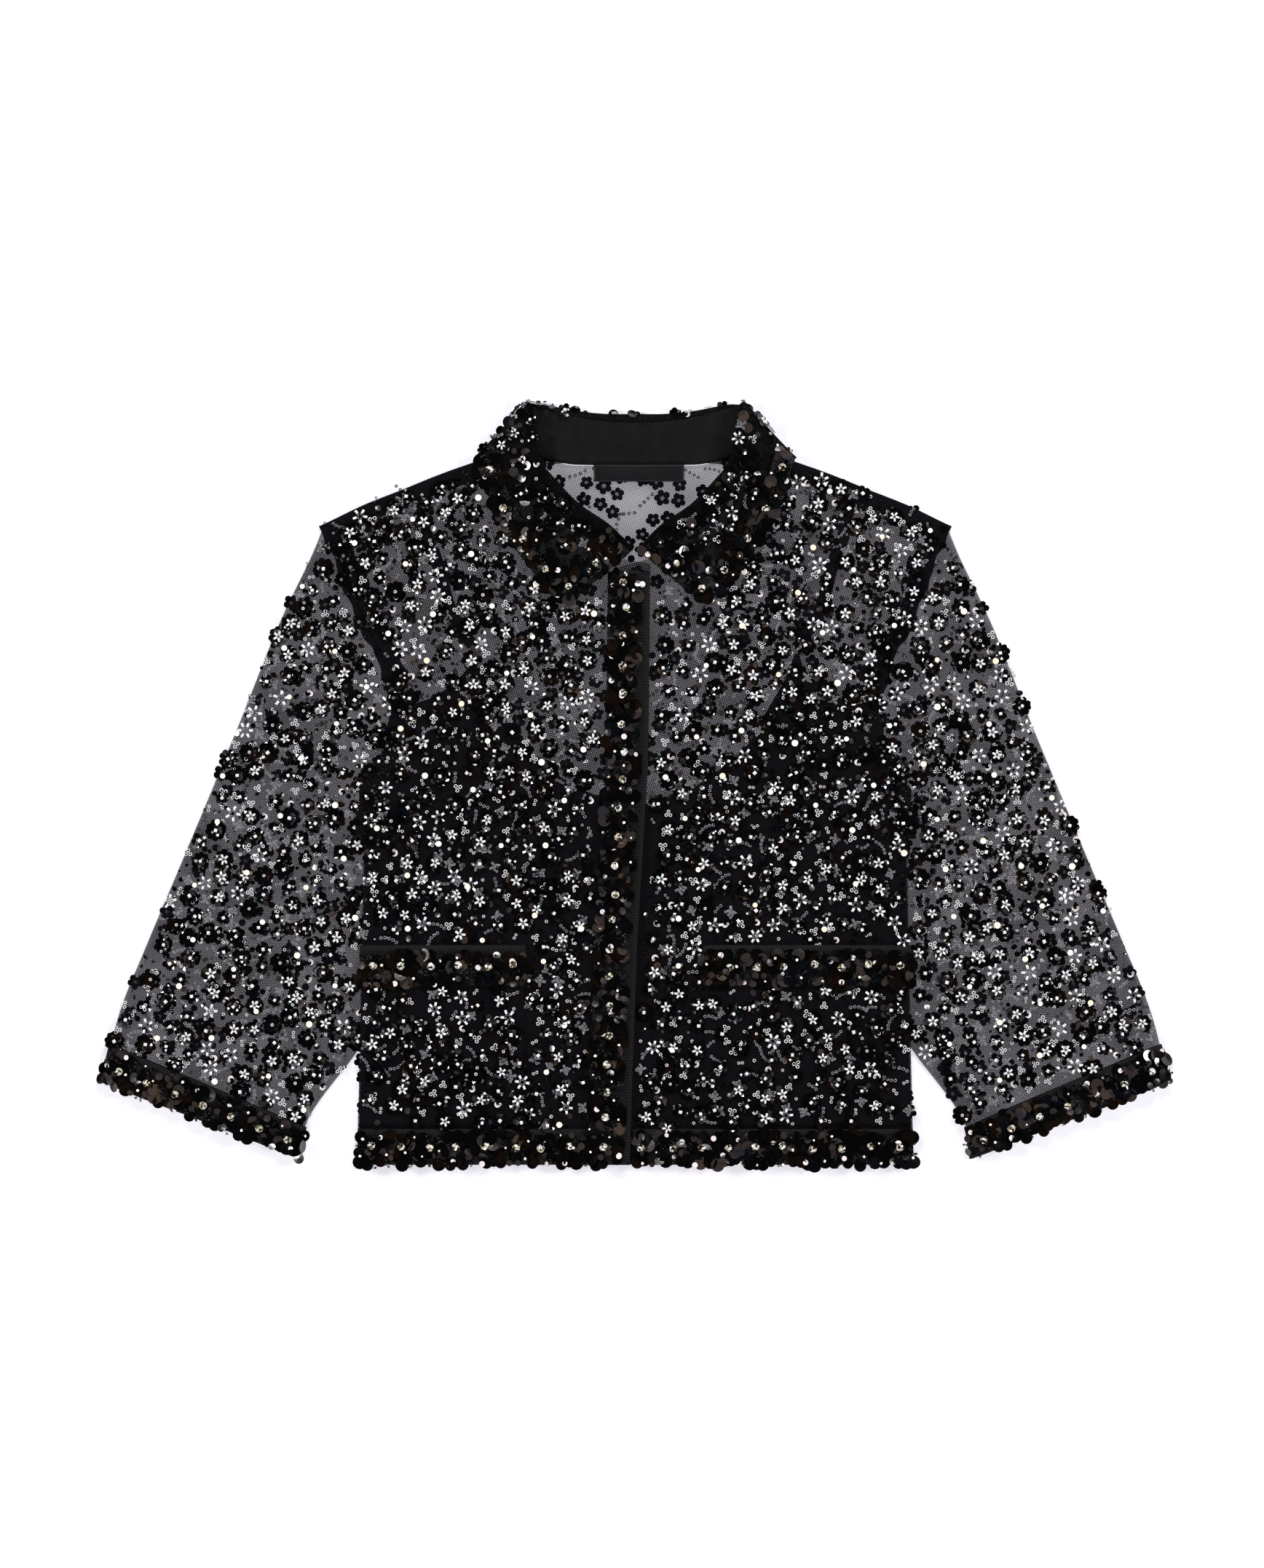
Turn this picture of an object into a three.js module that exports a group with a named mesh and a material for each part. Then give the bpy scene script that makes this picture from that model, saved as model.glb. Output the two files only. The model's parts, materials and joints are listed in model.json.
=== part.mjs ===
// A cropped evening blouse of sheer beaded net, laid flat on its back with the front up.
// Millimetres. X runs to the viewer's right, Y from the hem to the neck, Z up from the surface.
// "Right" and "left" in names are the wearer's, so the wearer's right is at negative X.
import * as THREE from "three";

// Driving sizes
const cloth = 1; // thickness of every cloth wall
const gap = 0.4; // air between a piece and what it lies on
const pitch = cloth + gap; // from one layer of cloth to the next
const seamGap = 0.3; // between pieces sewn edge to edge
const underarmHeight = 286; // above the hem
const hemTrimHeight = 27;
const cuffTrimShare = 0.065; // of the sleeve's length
const foldInset = 1.4; // from a sleeve's fold to where its two layers lie flat
const frontTrimWidth = 32;
const pocketTop = 166;
const pocketBottom = 30;
const pocketTrimHeight = 31;
const pocketTrimOverhang = 1.5;
const stonePitch = 21.4; // between the large stones of a trim
const stoneRadius = 4;
const stoneHeight = 2.4;
const collarTrimWidth = 20;
const firstStone = { hem: 12, pocket: 10, front: 7, collar: 14 }; // from the start of each trim
const frontLength = 448; // of the front trim

// The body's half outline: side seam, armhole and shoulder, from the hem up
const sideSeam = [
  { x: 210.4, y: 0 },
  { x: 208.2, y: 84 },
  { x: 204.9, y: 247 },
  { x: 202.1, y: underarmHeight },
];
const armhole = [
  { x: 202.1, y: underarmHeight },
  { x: 187, y: 311 },
  { x: 180.1, y: 336 },
  { x: 182.9, y: 358 },
  { x: 191, y: 385 },
  { x: 205, y: 412 },
  { x: 216, y: 440 },
  { x: 224, y: 462 },
  { x: 234, y: 485 },
];
const shoulder = [
  { x: 234, y: 485 },
  { x: 205, y: 499 },
  { x: 177, y: 510 },
  { x: 150, y: 521 },
  { x: 122, y: 531 },
  { x: 84, y: 543 },
];

// Free edge of the overlapping front, and the hidden edge of the front below it
const overEdge = [
  { x: -4.1, y: 0 },
  { x: -2.5, y: 55 },
  { x: 1.4, y: 165 },
  { x: 9.6, y: 302 },
  { x: 11.3, y: 454 },
];
const underEdge = [
  { x: -24, y: 0 },
  { x: -18, y: 165 },
  { x: -14, y: 302 },
  { x: -12, y: 452 },
];

// The sleeve's half outline: outer fold, inner fold (partly under the body) and cuff
const sleeveOuter = [
  { x: 245, y: 460 },
  { x: 268, y: 412 },
  { x: 301, y: 330 },
  { x: 340, y: 236 },
  { x: 370, y: 165 },
  { x: 389, y: 118 },
  { x: 403.5, y: 62.5 },
];
const sleeveInner = [
  { x: 206.2, y: 266 },
  { x: 203, y: 250 },
  { x: 196, y: 232 },
  { x: 184, y: 200 },
  { x: 180, y: 165 },
  { x: 190, y: 116 },
  { x: 211.5, y: 83.6 },
  { x: 247.8, y: 33 },
  { x: 254, y: 4 },
];
const cuffEdge = [
  { x: 403.5, y: 62.5 },
  { x: 365.5, y: 47.4 },
  { x: 332.5, y: 35 },
  { x: 299.5, y: 22.2 },
  { x: 254, y: 4 },
];

// Soft folds pressed into the top of a sleeve: share across, share down, half sizes in mm, height
const sleeveFolds = [
  { across: 0.3, down: 0.82, long: 46, wide: 9, height: 0.9 },
  { across: 0.52, down: 0.72, long: 60, wide: 10, height: 0.8 },
  { across: 0.66, down: 0.86, long: 38, wide: 8, height: 1 },
  { across: 0.4, down: 0.45, long: 52, wide: 12, height: 0.5 },
];

// Top edge of the camisole lining from the armhole to the centre front, and its strap
const liningTop = [
  { x: 181.5, y: 337 },
  { x: 177, y: 344 },
  { x: 150, y: 355 },
  { x: 128, y: 374 },
  { x: 122.4, y: 387.8 },
  { x: 114, y: 368.5 },
  { x: 100, y: 344 },
  { x: 84, y: 316 },
  { x: 62, y: 297 },
  { x: 40, y: 283 },
  { x: 19, y: 275.5 },
];
const strapWidth = 9;
const strapLine = [
  { x: 122.6, y: 391.5 },
  { x: 139, y: 418 },
  { x: 150, y: 456 },
  { x: 157, y: 474 },
  { x: 163, y: 508 },
];

// The collar, half round: under the back, then folded over the shoulder, then on the front
const collarBack = [
  { neckX: 0, neckY: 528, foldX: 0, foldY: 566, edgeX: 0, edgeY: 531 },
  { neckX: 24, neckY: 528, foldX: 22, foldY: 566, edgeX: 29, edgeY: 530.8 },
  { neckX: 48, neckY: 528.6, foldX: 46, foldY: 568.5, edgeX: 60, edgeY: 530 },
  { neckX: 69, neckY: 532, foldX: 69, foldY: 573, edgeX: 92, edgeY: 527 },
  { neckX: 84, neckY: 543, foldX: 80, foldY: 573.5, edgeX: 120.3, edgeY: 533 },
];
const collarFront = [
  { neckX: 84, neckY: 543, foldX: 80, foldY: 573.5, edgeX: 120.3, edgeY: 533, rise: 4.6 },
  { neckX: 81, neckY: 532, foldX: 77.8, foldY: 556, edgeX: 114, edgeY: 513, rise: 4.8 },
  { neckX: 79.5, neckY: 514, foldX: 72, foldY: 531, edgeX: 103, edgeY: 486, rise: 4.8 },
  { neckX: 73, neckY: 497, foldX: 61.5, foldY: 517, edgeX: 91.5, edgeY: 466.5, rise: 4.6 },
  { neckX: 55, neckY: 482.5, foldX: 43, foldY: 498, edgeX: 78, edgeY: 448.5, rise: 4.2 },
  { neckX: 32, neckY: 470.5, foldX: 20, foldY: 482, edgeX: 66.5, edgeY: 432.5, rise: 3.8 },
  { neckX: 9, neckY: 457.5, foldX: 2.4, foldY: 464, edgeX: 50, edgeY: 424.3, rise: 3.2 },
];
const backNeck = collarBack.map((row) => ({ x: row.neckX, y: row.neckY })).reverse();
const frontNeck = collarFront.map((row) => ({ x: row.neckX, y: row.neckY }));
const rollRadius = 1.6; // of the collar's fold line
const rollTurnIn = { back: 5, front: 1.2 }; // of net past the fold, to the plain inner band
const leafGap = 0.9; // under a collar leaf
const neckClear = 1.6; // from the band to the neck seam, where the two walls meet at an angle
const fallUnder = 0.7; // how much the back of the collar climbs from its edge to the fold
const bendOut = new THREE.Vector2(0.75, 0.66); // from the neck, square to the bent fall
const bandBendOut = new THREE.Vector2(0.99, 0.13); // square to the bent inner band

// Ramps by which a layer rises over what lies below it: where each starts and how long it is
const ramps = {
  sleeveInward: { from: -40, length: 30 }, // from the sleeve's hidden fold
  sleeveDown: { from: 0, length: 24 }, // from the underarm
  hem: { from: -31, length: 26 }, // below the top of the back's hem trim
  neckUp: { from: -32, length: 20 }, // above the edge of the collar's back fall
  neckSide: { from: 0, length: 22 }, // inward of the collar's end
  strap: { from: -34, length: 14 }, // towards the lining's strap
  shoulderSeam: { from: 0, length: 34 },
  overlap: { from: -52, length: 24 }, // towards the hidden edge of the front below
  overlapEnd: { from: -46, length: 24 },
  puffSide: { from: 26, length: 22 }, // outside the side seam
  puffUp: { from: 0, length: 18 }, // above the underarm
  cuff: { from: 0.86, length: 0.06 }, // share of the sleeve's length
};
const collarEndX = 150; // where the back panel is flat again beside the collar
const shoulderBow = 5; // of the shoulder seam above a straight line

const labelBox = { minX: -31.5, maxX: 37, minY: 516.2, maxY: 527.6 };
const studRadius = 2.3;
const studHeight = 1.4;
const studRim = 0.5;
const studPlaces = {
  press_stud_top: { x: 5.3, y: 438.5 },
  press_stud_bottom: { x: -12.4, y: 7 },
};

const materials = {
  net: new THREE.MeshStandardMaterial({ color: "#3a373b", roughness: 0.7, metalness: 0 }),
  lining: new THREE.MeshStandardMaterial({ color: "#1a1a1c", roughness: 0.75, metalness: 0 }),
  band: new THREE.MeshStandardMaterial({ color: "#1b1a1a", roughness: 0.85, metalness: 0 }),
  ribbon: new THREE.MeshStandardMaterial({ color: "#242325", roughness: 0.45, metalness: 0.1 }),
  label: new THREE.MeshStandardMaterial({ color: "#1d1b1e", roughness: 0.4, metalness: 0 }),
  stud: new THREE.MeshStandardMaterial({ color: "#e9e9ea", roughness: 0.3, metalness: 0 }),
};

// Small helpers
const blouse = new THREE.Group();

function smooth(t) {
  const share = THREE.MathUtils.clamp(t, 0, 1);
  return share * share * (3 - 2 * share);
}

function ramp(distance, { from, length }) {
  return smooth((distance - from) / length);
}

function steps(count) {
  return Array.from({ length: count + 1 }, (_, i) => i / count);
}

// A smooth line through a table's rows, by share of its length
function curve(rows) {
  const line = new THREE.CatmullRomCurve3(
    rows.map((row) => new THREE.Vector3(row.x, row.y, 0)),
    false,
    "centripetal",
  );
  return (share) => line.getPointAt(THREE.MathUtils.clamp(share, 0, 1));
}

// Straight steps from row to row of a table, by share of its rows
function polyline(rows) {
  const points = rows.map((row) => new THREE.Vector3(row.x, row.y, 0));
  return (share) => {
    const at = THREE.MathUtils.clamp(share, 0, 1) * (points.length - 1);
    const first = Math.min(Math.floor(at), points.length - 2);
    return points[first].clone().lerp(points[first + 1], at - first);
  };
}

// Straight steps between a line's points at the shares given
function stepped(line, shares) {
  return (share) => {
    const next = Math.max(shares.findIndex((stop) => stop >= share), 1);
    const [low, high] = [shares[next - 1], shares[next]];
    return line(low).lerp(line(high), (share - low) / (high - low));
  };
}

// Two lines end to end, the first up to the share where they meet
function joined(first, second, meet) {
  return (share) => (share <= meet ? first(share / meet) : second((share - meet) / (1 - meet)));
}

// The x of a table's line at a height, in straight steps, held level past its ends
function xAt(rows, y) {
  const upward = rows[0].y < rows[rows.length - 1].y ? rows : [...rows].reverse();
  const next = upward.findIndex((row) => row.y >= y);
  if (next === 0) return upward[0].x;
  if (next < 0) return upward[upward.length - 1].x;
  const [low, high] = [upward[next - 1], upward[next]];
  return THREE.MathUtils.lerp(low.x, high.x, (y - low.y) / (high.y - low.y));
}

// A net of points inside four lines: low and high run across, start and end run up
function patch(low, high, start, end) {
  return (across, up) => {
    const point = low(across).multiplyScalar(1 - up);
    point.addScaledVector(high(across), up);
    point.addScaledVector(start(up), 1 - across);
    point.addScaledVector(end(up), across);
    point.addScaledVector(low(0), -(1 - across) * (1 - up));
    point.addScaledVector(low(1), -across * (1 - up));
    point.addScaledVector(high(0), -(1 - across) * up);
    return point.addScaledVector(high(1), -across * up);
  };
}

function volume(positions, triangles) {
  const corner = (index) => new THREE.Vector3().fromArray(positions, 3 * index);
  let sum = 0;
  for (let i = 0; i < triangles.length; i += 3) {
    const [a, b, c] = [0, 1, 2].map((k) => corner(triangles[i + k]));
    sum += a.dot(b.cross(c));
  }
  return sum;
}

// A closed solid from a wall's two faces, given as rows of points. Rows that are rings wrap round.
function wall(name, outer, inner, material, rings = false) {
  const rows = outer.length;
  const columns = outer[0].length;
  const positions = [...outer.flat(), ...inner.flat()].flatMap((point) => point.toArray());
  const at = (face, row, column) => (face * rows + row) * columns + (column % columns);
  const triangles = [];
  const quad = (a, b, c, d) => triangles.push(a, b, c, a, c, d);
  const last = rings ? columns : columns - 1;
  for (let row = 0; row < rows - 1; row++) {
    for (let column = 0; column < last; column++) {
      const next = column + 1;
      quad(at(0, row, column), at(0, row, next), at(0, row + 1, next), at(0, row + 1, column));
      quad(at(1, row, column), at(1, row + 1, column), at(1, row + 1, next), at(1, row, next));
    }
    if (!rings) {
      quad(at(0, row, 0), at(0, row + 1, 0), at(1, row + 1, 0), at(1, row, 0));
      quad(at(0, row, last), at(1, row, last), at(1, row + 1, last), at(0, row + 1, last));
    }
  }
  for (let column = 0; column < last; column++) {
    const end = rows - 1;
    quad(at(0, 0, column), at(1, 0, column), at(1, 0, column + 1), at(0, 0, column + 1));
    quad(at(0, end, column), at(0, end, column + 1), at(1, end, column + 1), at(1, end, column));
  }
  if (volume(positions, triangles) < 0) triangles.reverse();
  const geometry = new THREE.BufferGeometry();
  geometry.setAttribute("position", new THREE.Float32BufferAttribute(positions, 3));
  geometry.setIndex(triangles);
  geometry.computeVertexNormals();
  const mesh = new THREE.Mesh(geometry, material);
  mesh.name = name;
  blouse.add(mesh);
}

function raised(point, height) {
  return new THREE.Vector3(point.x, point.y, height);
}

// A flat-laid wall over a net of points, its underside at the height given
function laidWall(name, net, underside, material) {
  const ordered = net.map((row) => (row[0].x < row[row.length - 1].x ? row : [...row].reverse()));
  const under = ordered.map((row) => row.map((point) => raised(point, underside(point.x, point.y))));
  const over = under.map((row) => row.map((point) => raised(point, point.z + cloth)));
  wall(name, over, under, material);
}

// Heights. What lies below a layer lifts it, in ramps a few centimetres long.
function sleeveTuck(x, y) {
  const hiddenFold = xAt(sleeveInner, y);
  const inward = ramp(Math.abs(x) - hiddenFold, ramps.sleeveInward);
  return 2 * pitch * inward * ramp(underarmHeight - y, ramps.sleeveDown);
}

function hemLift(y) {
  return pitch * ramp(hemTrimHeight - y, ramps.hem);
}

// The outer edge of the collar's back fall, which climbs towards the shoulder
function collarUnderY(x) {
  const [centre, end] = [collarBack[0], collarBack[collarBack.length - 1]];
  return THREE.MathUtils.lerp(centre.edgeY, end.edgeY, Math.min(Math.abs(x) / end.edgeX, 1) ** 4);
}

function neckLift(x, y) {
  return pitch * ramp(y - collarUnderY(x), ramps.neckUp) * ramp(collarEndX - Math.abs(x), ramps.neckSide);
}

function backUnderside(x, y) {
  return sleeveTuck(x, y) + hemLift(y) + neckLift(x, y);
}

function shoulderY(x) {
  const tip = shoulder[0];
  const neck = shoulder[shoulder.length - 1];
  const share = (tip.x - Math.abs(x)) / (tip.x - neck.x);
  const bow = shoulderBow * Math.sin(Math.PI * THREE.MathUtils.clamp(share, 0, 1));
  return THREE.MathUtils.lerp(tip.y, neck.y, share) + bow;
}

// The lining lies between back and front. The front comes down to the back at the shoulder seam,
// but for the strap's own ridge.
function liningUnderside(x, y) {
  return backUnderside(x, y) + pitch;
}

function frontUnderside(x, y) {
  const fromStrap = Math.abs(Math.abs(x) - xAt(strapLine, y));
  const ridge = ramp(-fromStrap, ramps.strap);
  const awayFromSeam = ramp(shoulderY(x) - y, ramps.shoulderSeam);
  return liningUnderside(x, y) + pitch * Math.max(awayFromSeam, ridge);
}

function overlapLift(x) {
  return pitch * ramp(x, ramps.overlap);
}

function overFrontUnderside(x, y) {
  return frontUnderside(x, y) + overlapLift(x);
}

// What a collar leaf lies on: the overlapping front reaches a little past the centre
function bodyTop(x, y) {
  return frontUnderside(x, y) + overlapLift(x) * ramp(-x, ramps.overlapEnd) + cloth;
}

// Body panels. Rows run across from the side seam; columns are close together over the sleeve.
const sideSteps = [0, 10, 22, 35, 49, 66];
const lowRows = [0, 27, 44, 60, 84, 116, 150, 184, 216, 240, 262, underarmHeight];
const shoulderShare = 0.56; // of a panel's upper edge, the rest being its neckline
const highRows = [0.15, 0.33, 0.46, 0.6, 0.74, 0.86, 0.94, 1];

// Shares of a width: close together beside the side seam, then even up to each stop in turn
function acrossShares(width, ...stops) {
  const shares = sideSteps.map((step) => step / width);
  for (const [end, count] of stops) {
    const start = shares[shares.length - 1];
    shares.push(...steps(count).slice(1).map((share) => THREE.MathUtils.lerp(start, end, share)));
  }
  return shares;
}

// The net of half a body panel on one side: edge rows give its centre edge, neck rows its neckline
function panelNet(side, edgeRows, neckRows) {
  const outside = (y) => xAt(sideSeam, y);
  const inside = (y) => side * xAt(edgeRows, y);
  const width = outside(underarmHeight) - inside(underarmHeight);
  const shares = acrossShares(width, [shoulderShare, 3], [1, neckRows.length - 1]);
  const neckEnd = neckRows[neckRows.length - 1];
  const upperEdge = edgeRows.filter((row) => row.y > underarmHeight && row.y < neckEnd.y);
  const edgeLine = [
    { x: inside(underarmHeight), y: underarmHeight },
    ...upperEdge.map((row) => ({ x: side * row.x, y: row.y })),
    { x: neckEnd.x, y: neckEnd.y },
  ];
  const level = (share) => new THREE.Vector3(
    THREE.MathUtils.lerp(outside(underarmHeight), inside(underarmHeight), share),
    underarmHeight,
    0,
  );
  const upperLine = joined(curve(shoulder), polyline(neckRows), shoulderShare);
  const upper = patch(level, upperLine, curve(armhole), curve(edgeLine));
  const low = lowRows.map((y) => shares.map((share) => (
    new THREE.Vector3(THREE.MathUtils.lerp(outside(y), inside(y), share), y, 0)
  )));
  const high = highRows.map((up) => shares.map((share) => upper(share, up)));
  return [...low, ...high].map((row) => row.map((point) => new THREE.Vector3(side * point.x, point.y, 0)));
}

function neckWithEnd(side, edgeRows) {
  const end = edgeRows[edgeRows.length - 1];
  return [...frontNeck, { x: side * end.x, y: end.y }];
}

const centreLine = [{ x: 0, y: 0 }, { x: 0, y: 528 }];
const backHalf = (side) => panelNet(side, centreLine, backNeck);
const backRight = backHalf(-1);
const backLeft = backHalf(1);
const backNet = backRight.map((row, i) => [...row, ...backLeft[i].slice(0, -1).reverse()]);
laidWall("back", backNet, backUnderside, materials.net);
const frontNet = (side, edgeRows) => panelNet(side, edgeRows, neckWithEnd(side, edgeRows));
laidWall("front_left", frontNet(1, underEdge), frontUnderside, materials.net);
laidWall("front_right", frontNet(-1, overEdge), overFrontUnderside, materials.net);

// Camisole lining behind each front, with a strap to the shoulder seam
const liningHem = 6;
const liningCentre = { right: -21, left: -9 };
const liningHighRows = [0.3, 0.53, 0.77, 1];

function liningNet(side, centre) {
  const inset = 1;
  const outside = (y) => xAt(sideSeam, y) - inset;
  const seamTop = lowRows[lowRows.length - 2];
  const shares = acrossShares(outside(underarmHeight) - side * centre, [1, 9]);
  const across = (y, share) => THREE.MathUtils.lerp(outside(y), side * centre, share);
  const level = (share) => new THREE.Vector3(across(seamTop, share), seamTop, 0);
  const outer = [
    { x: outside(seamTop), y: seamTop },
    { x: outside(underarmHeight), y: underarmHeight },
    { x: armhole[1].x - inset, y: armhole[1].y },
    liningTop[0],
  ];
  const top = [...liningTop, { x: side * centre, y: 274 }];
  const centreEdge = [{ x: side * centre, y: seamTop }, { x: side * centre, y: 274 }];
  const upper = patch(level, curve(top), curve(outer), curve(centreEdge));
  const low = [liningHem, ...lowRows.slice(1, -1)].map((y) => shares.map((share) => (
    new THREE.Vector3(across(y, share), y, 0)
  )));
  const high = liningHighRows.map((up) => shares.map((share) => upper(share, up)));
  return [...low, ...high].map((row) => row.map((point) => new THREE.Vector3(side * point.x, point.y, 0)));
}

function strapNet(side) {
  const line = curve(strapLine);
  return steps(8).map((share) => [-0.5, 0.5].map((half) => {
    const point = line(share);
    return new THREE.Vector3(side * (point.x + half * strapWidth), point.y - half * strapWidth * 0.35, 0);
  }));
}

for (const [name, side] of [["right", -1], ["left", 1]]) {
  laidWall(`lining_front_${name}`, liningNet(side, liningCentre[name]), liningUnderside, materials.lining);
  laidWall(`lining_strap_${name}`, strapNet(side), liningUnderside, materials.lining);
}

// Sleeves: flattened tubes, open at armhole and cuff, worked out as rings from armhole to cuff
// Its open end follows the armhole's upper part; below that its inner fold lies along the armhole.
const seamShift = new THREE.Vector3(0.8, -0.2, 0);
const foldShift = new THREE.Vector3(2.6, 0, 0);
const openRows = highRows.slice(1);
const openFrom = openRows[0];
const bodyArmhole = stepped(curve(armhole), [0, ...highRows]);
const sleeveArmhole = (across) => bodyArmhole(1 - across * (1 - openFrom)).add(seamShift);
const alongArmhole = [highRows[0], 0].map((share) => bodyArmhole(share).add(foldShift));
const sleevePlace = patch(
  sleeveArmhole,
  curve(cuffEdge),
  curve([sleeveArmhole(0), ...sleeveOuter]),
  curve([sleeveArmhole(1), ...alongArmhole, ...sleeveInner]),
);

function cuffLift(down) {
  return pitch * ramp(down, ramps.cuff);
}

const pivot = new THREE.Vector2();
const sleeveSlope = 1.18; // radians, from a sleeve's length to the X axis
const puffEdge = 1 / 6; // share of the width over which the layers part
const puffExtra = 0.5; // more air half way down

// Air and folds between a sleeve's layers, none at its folds nor where the body lies on it
function sleevePuff(across, down) {
  const point = sleevePlace(across, down);
  const beside = ramp(point.x - xAt(sideSeam, point.y), ramps.puffSide);
  const open = Math.max(beside, ramp(point.y - underarmHeight, ramps.puffUp));
  const arch = Math.min(across, 1 - across) / puffEdge;
  const fold = sleeveFolds.reduce((sum, row) => {
    const centre = sleevePlace(row.across, row.down);
    const off = new THREE.Vector2(point.x - centre.x, point.y - centre.y).rotateAround(pivot, sleeveSlope);
    return sum + row.height * Math.exp(-((off.x / row.long) ** 2) - (off.y / row.wide) ** 2);
  }, 0);
  return open * smooth(arch) * (pitch + puffExtra * Math.sin(Math.PI * down) + fold);
}

// One ring round the sleeve, grown outward by a distance: the layer below, then the layer above
function sleeveRing(side, down, grow, sharesBelow, sharesAbove, extra = () => 0) {
  const width = sleevePlace(0, down).distanceTo(sleevePlace(1, down));
  const low = cuffLift(down) - grow;
  const foldHigh = cuffLift(down) + 2 * cloth + gap + grow;
  const place = (share, height) => {
    const spread = THREE.MathUtils.lerp(-grow / width, 1 + grow / width, share);
    const point = sleevePlace(THREE.MathUtils.clamp(spread, 0, 1), down);
    const past = (spread - THREE.MathUtils.clamp(spread, 0, 1)) * width;
    return new THREE.Vector3(side * (point.x - past), point.y, height);
  };
  const inset = (share) => THREE.MathUtils.lerp(foldInset / width, 1 - foldInset / width, share);
  const below = sharesBelow.map((share) => place(inset(share), low));
  const above = sharesAbove.map((share) => (
    place(inset(share), foldHigh + sleevePuff(inset(share), down) + extra(share))
  ));
  const middle = (low + foldHigh) / 2;
  return [place(0, middle), ...below, place(1, middle), ...above.reverse()];
}

const sleeveDown = [0, 0.09, 0.189, 0.27, 0.36, 0.45, 0.55, 0.64, 0.73, 0.81, 0.87, 0.935, 0.9675, 1];
const cuffDown = [0, 0.34, 0.5, 0.66, 1].map((share) => 1 - cuffTrimShare * (1 - share));
const cuffStones = 7;

function addSleeve(name, side) {
  const shares = openRows.map((share) => (1 - share) / (1 - openFrom)).reverse();
  const outer = sleeveDown.map((down) => sleeveRing(side, down, 0, shares, shares));
  const inner = sleeveDown.map((down) => sleeveRing(side, down, -cloth, shares, shares));
  wall(`sleeve_${name}`, outer, inner, materials.net, true);

  const width = sleevePlace(0, 1).distanceTo(sleevePlace(1, 1));
  const stones = Array.from({ length: cuffStones }, (_, i) => (i + 0.5) / cuffStones);
  const beside = stoneRadius / width;
  const near = stones.flatMap((stone) => [stone - beside, stone, stone + beside]);
  const trimShares = [0, ...near, 1];
  const bump = (down) => (share) => (
    down === cuffDown[2] && stones.includes(share) ? stoneHeight : 0
  );
  const trimOuter = cuffDown.map((down) => sleeveRing(side, down, pitch, shares, trimShares, bump(down)));
  const trimInner = cuffDown.map((down) => sleeveRing(side, down, gap, shares, trimShares));
  wall(`cuff_trim_${name}`, trimOuter, trimInner, materials.ribbon, true);
}

addSleeve("right", -1);
addSleeve("left", 1);

// Trims: ribbons with large stones along them, laid on what carries them. A place gives the
// carrier's outer point and its outward direction, by distance along and share across.
function beadedRibbon(name, place, length, first, across, crest, lift = 1.5 * gap) {
  const stones = [];
  for (let stone = first; stone < length - stoneRadius; stone += stonePitch) stones.push(stone);
  const near = stones.flatMap((stone) => [stone - stoneRadius, stone, stone + stoneRadius]);
  const along = [0, ...near, length];
  const face = (height) => along.map((distance) => across.map((share) => {
    const { point, outward } = place(distance, share);
    const bump = height > lift && share === crest && stones.includes(distance) ? stoneHeight : 0;
    return point.clone().addScaledVector(outward, height + bump);
  }));
  wall(name, face(lift + cloth), face(lift), materials.ribbon);
}

const up = new THREE.Vector3(0, 0, 1);

function frontPlace(x, y, underside) {
  return { point: new THREE.Vector3(x, y, underside(x, y) + cloth), outward: up };
}

const fronts = {
  right: { side: -1, underside: overFrontUnderside, pocketIn: 84 },
  left: { side: 1, underside: frontUnderside, pocketIn: 52.5 },
};
const stoneAcross = [0, 0.34, 0.5, 0.66, 1];
const edgeStrip = 1.4; // between the front trim and the ends of the trims that run up to it

for (const [name, front] of Object.entries(fronts)) {
  const { side, underside } = front;
  const outerX = (y) => xAt(sideSeam, y);

  // The hem trim runs from the side seam to the front trim, or to the free edge that covers it
  const hemEnd = side < 0 ? xAt(overEdge, 0) - frontTrimWidth - edgeStrip : xAt(overEdge, 0) + edgeStrip;
  const hemLength = outerX(0) - side * hemEnd;
  const hemPlace = (distance, share) => {
    const y = hemTrimHeight * share;
    const x = THREE.MathUtils.lerp(outerX(y), side * hemEnd, distance / hemLength);
    return frontPlace(side * x, y, underside);
  };
  beadedRibbon(`hem_trim_front_${name}`, hemPlace, hemLength, firstStone.hem, stoneAcross, 0.5);

  // The pocket is a patch from just above the hem trim, with a trim over its top edge
  const pocketRows = [pocketBottom, ...lowRows.slice(2, 6), pocketTop - pocketTrimHeight - 1];
  const pocketShares = acrossShares(outerX(pocketBottom) - front.pocketIn, [1, 3]);
  const pocketNet = pocketRows.map((y) => pocketShares.map((share) => {
    const x = THREE.MathUtils.lerp(outerX(y) - 1, front.pocketIn, share);
    return new THREE.Vector3(side * x, y, 0);
  }));
  laidWall(`pocket_${name}`, pocketNet, (x, y) => underside(x, y) + pitch, materials.net);

  const trimLength = outerX(pocketTop) - front.pocketIn + 2 * pocketTrimOverhang;
  const trimPlace = (distance, share) => {
    const y = pocketTop - pocketTrimHeight * (1 - share);
    const x = outerX(y) + pocketTrimOverhang - distance;
    return frontPlace(side * x, y, underside);
  };
  beadedRibbon(`pocket_trim_${name}`, trimPlace, trimLength, firstStone.pocket, stoneAcross, 0.5);
}

// The front trim runs down the overlapping front's free edge, its stones nearer the inner side
const frontStoneAcross = [0, 0.26, 0.4, 0.54, 1];
const frontTrimPlace = (distance, share) => {
  const y = frontLength - distance;
  const x = xAt(overEdge, y) - frontTrimWidth * (1 - share);
  return frontPlace(x, y, overFrontUnderside);
};
beadedRibbon("front_trim", frontTrimPlace, frontLength, firstStone.front, frontStoneAcross, 0.4);

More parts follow.
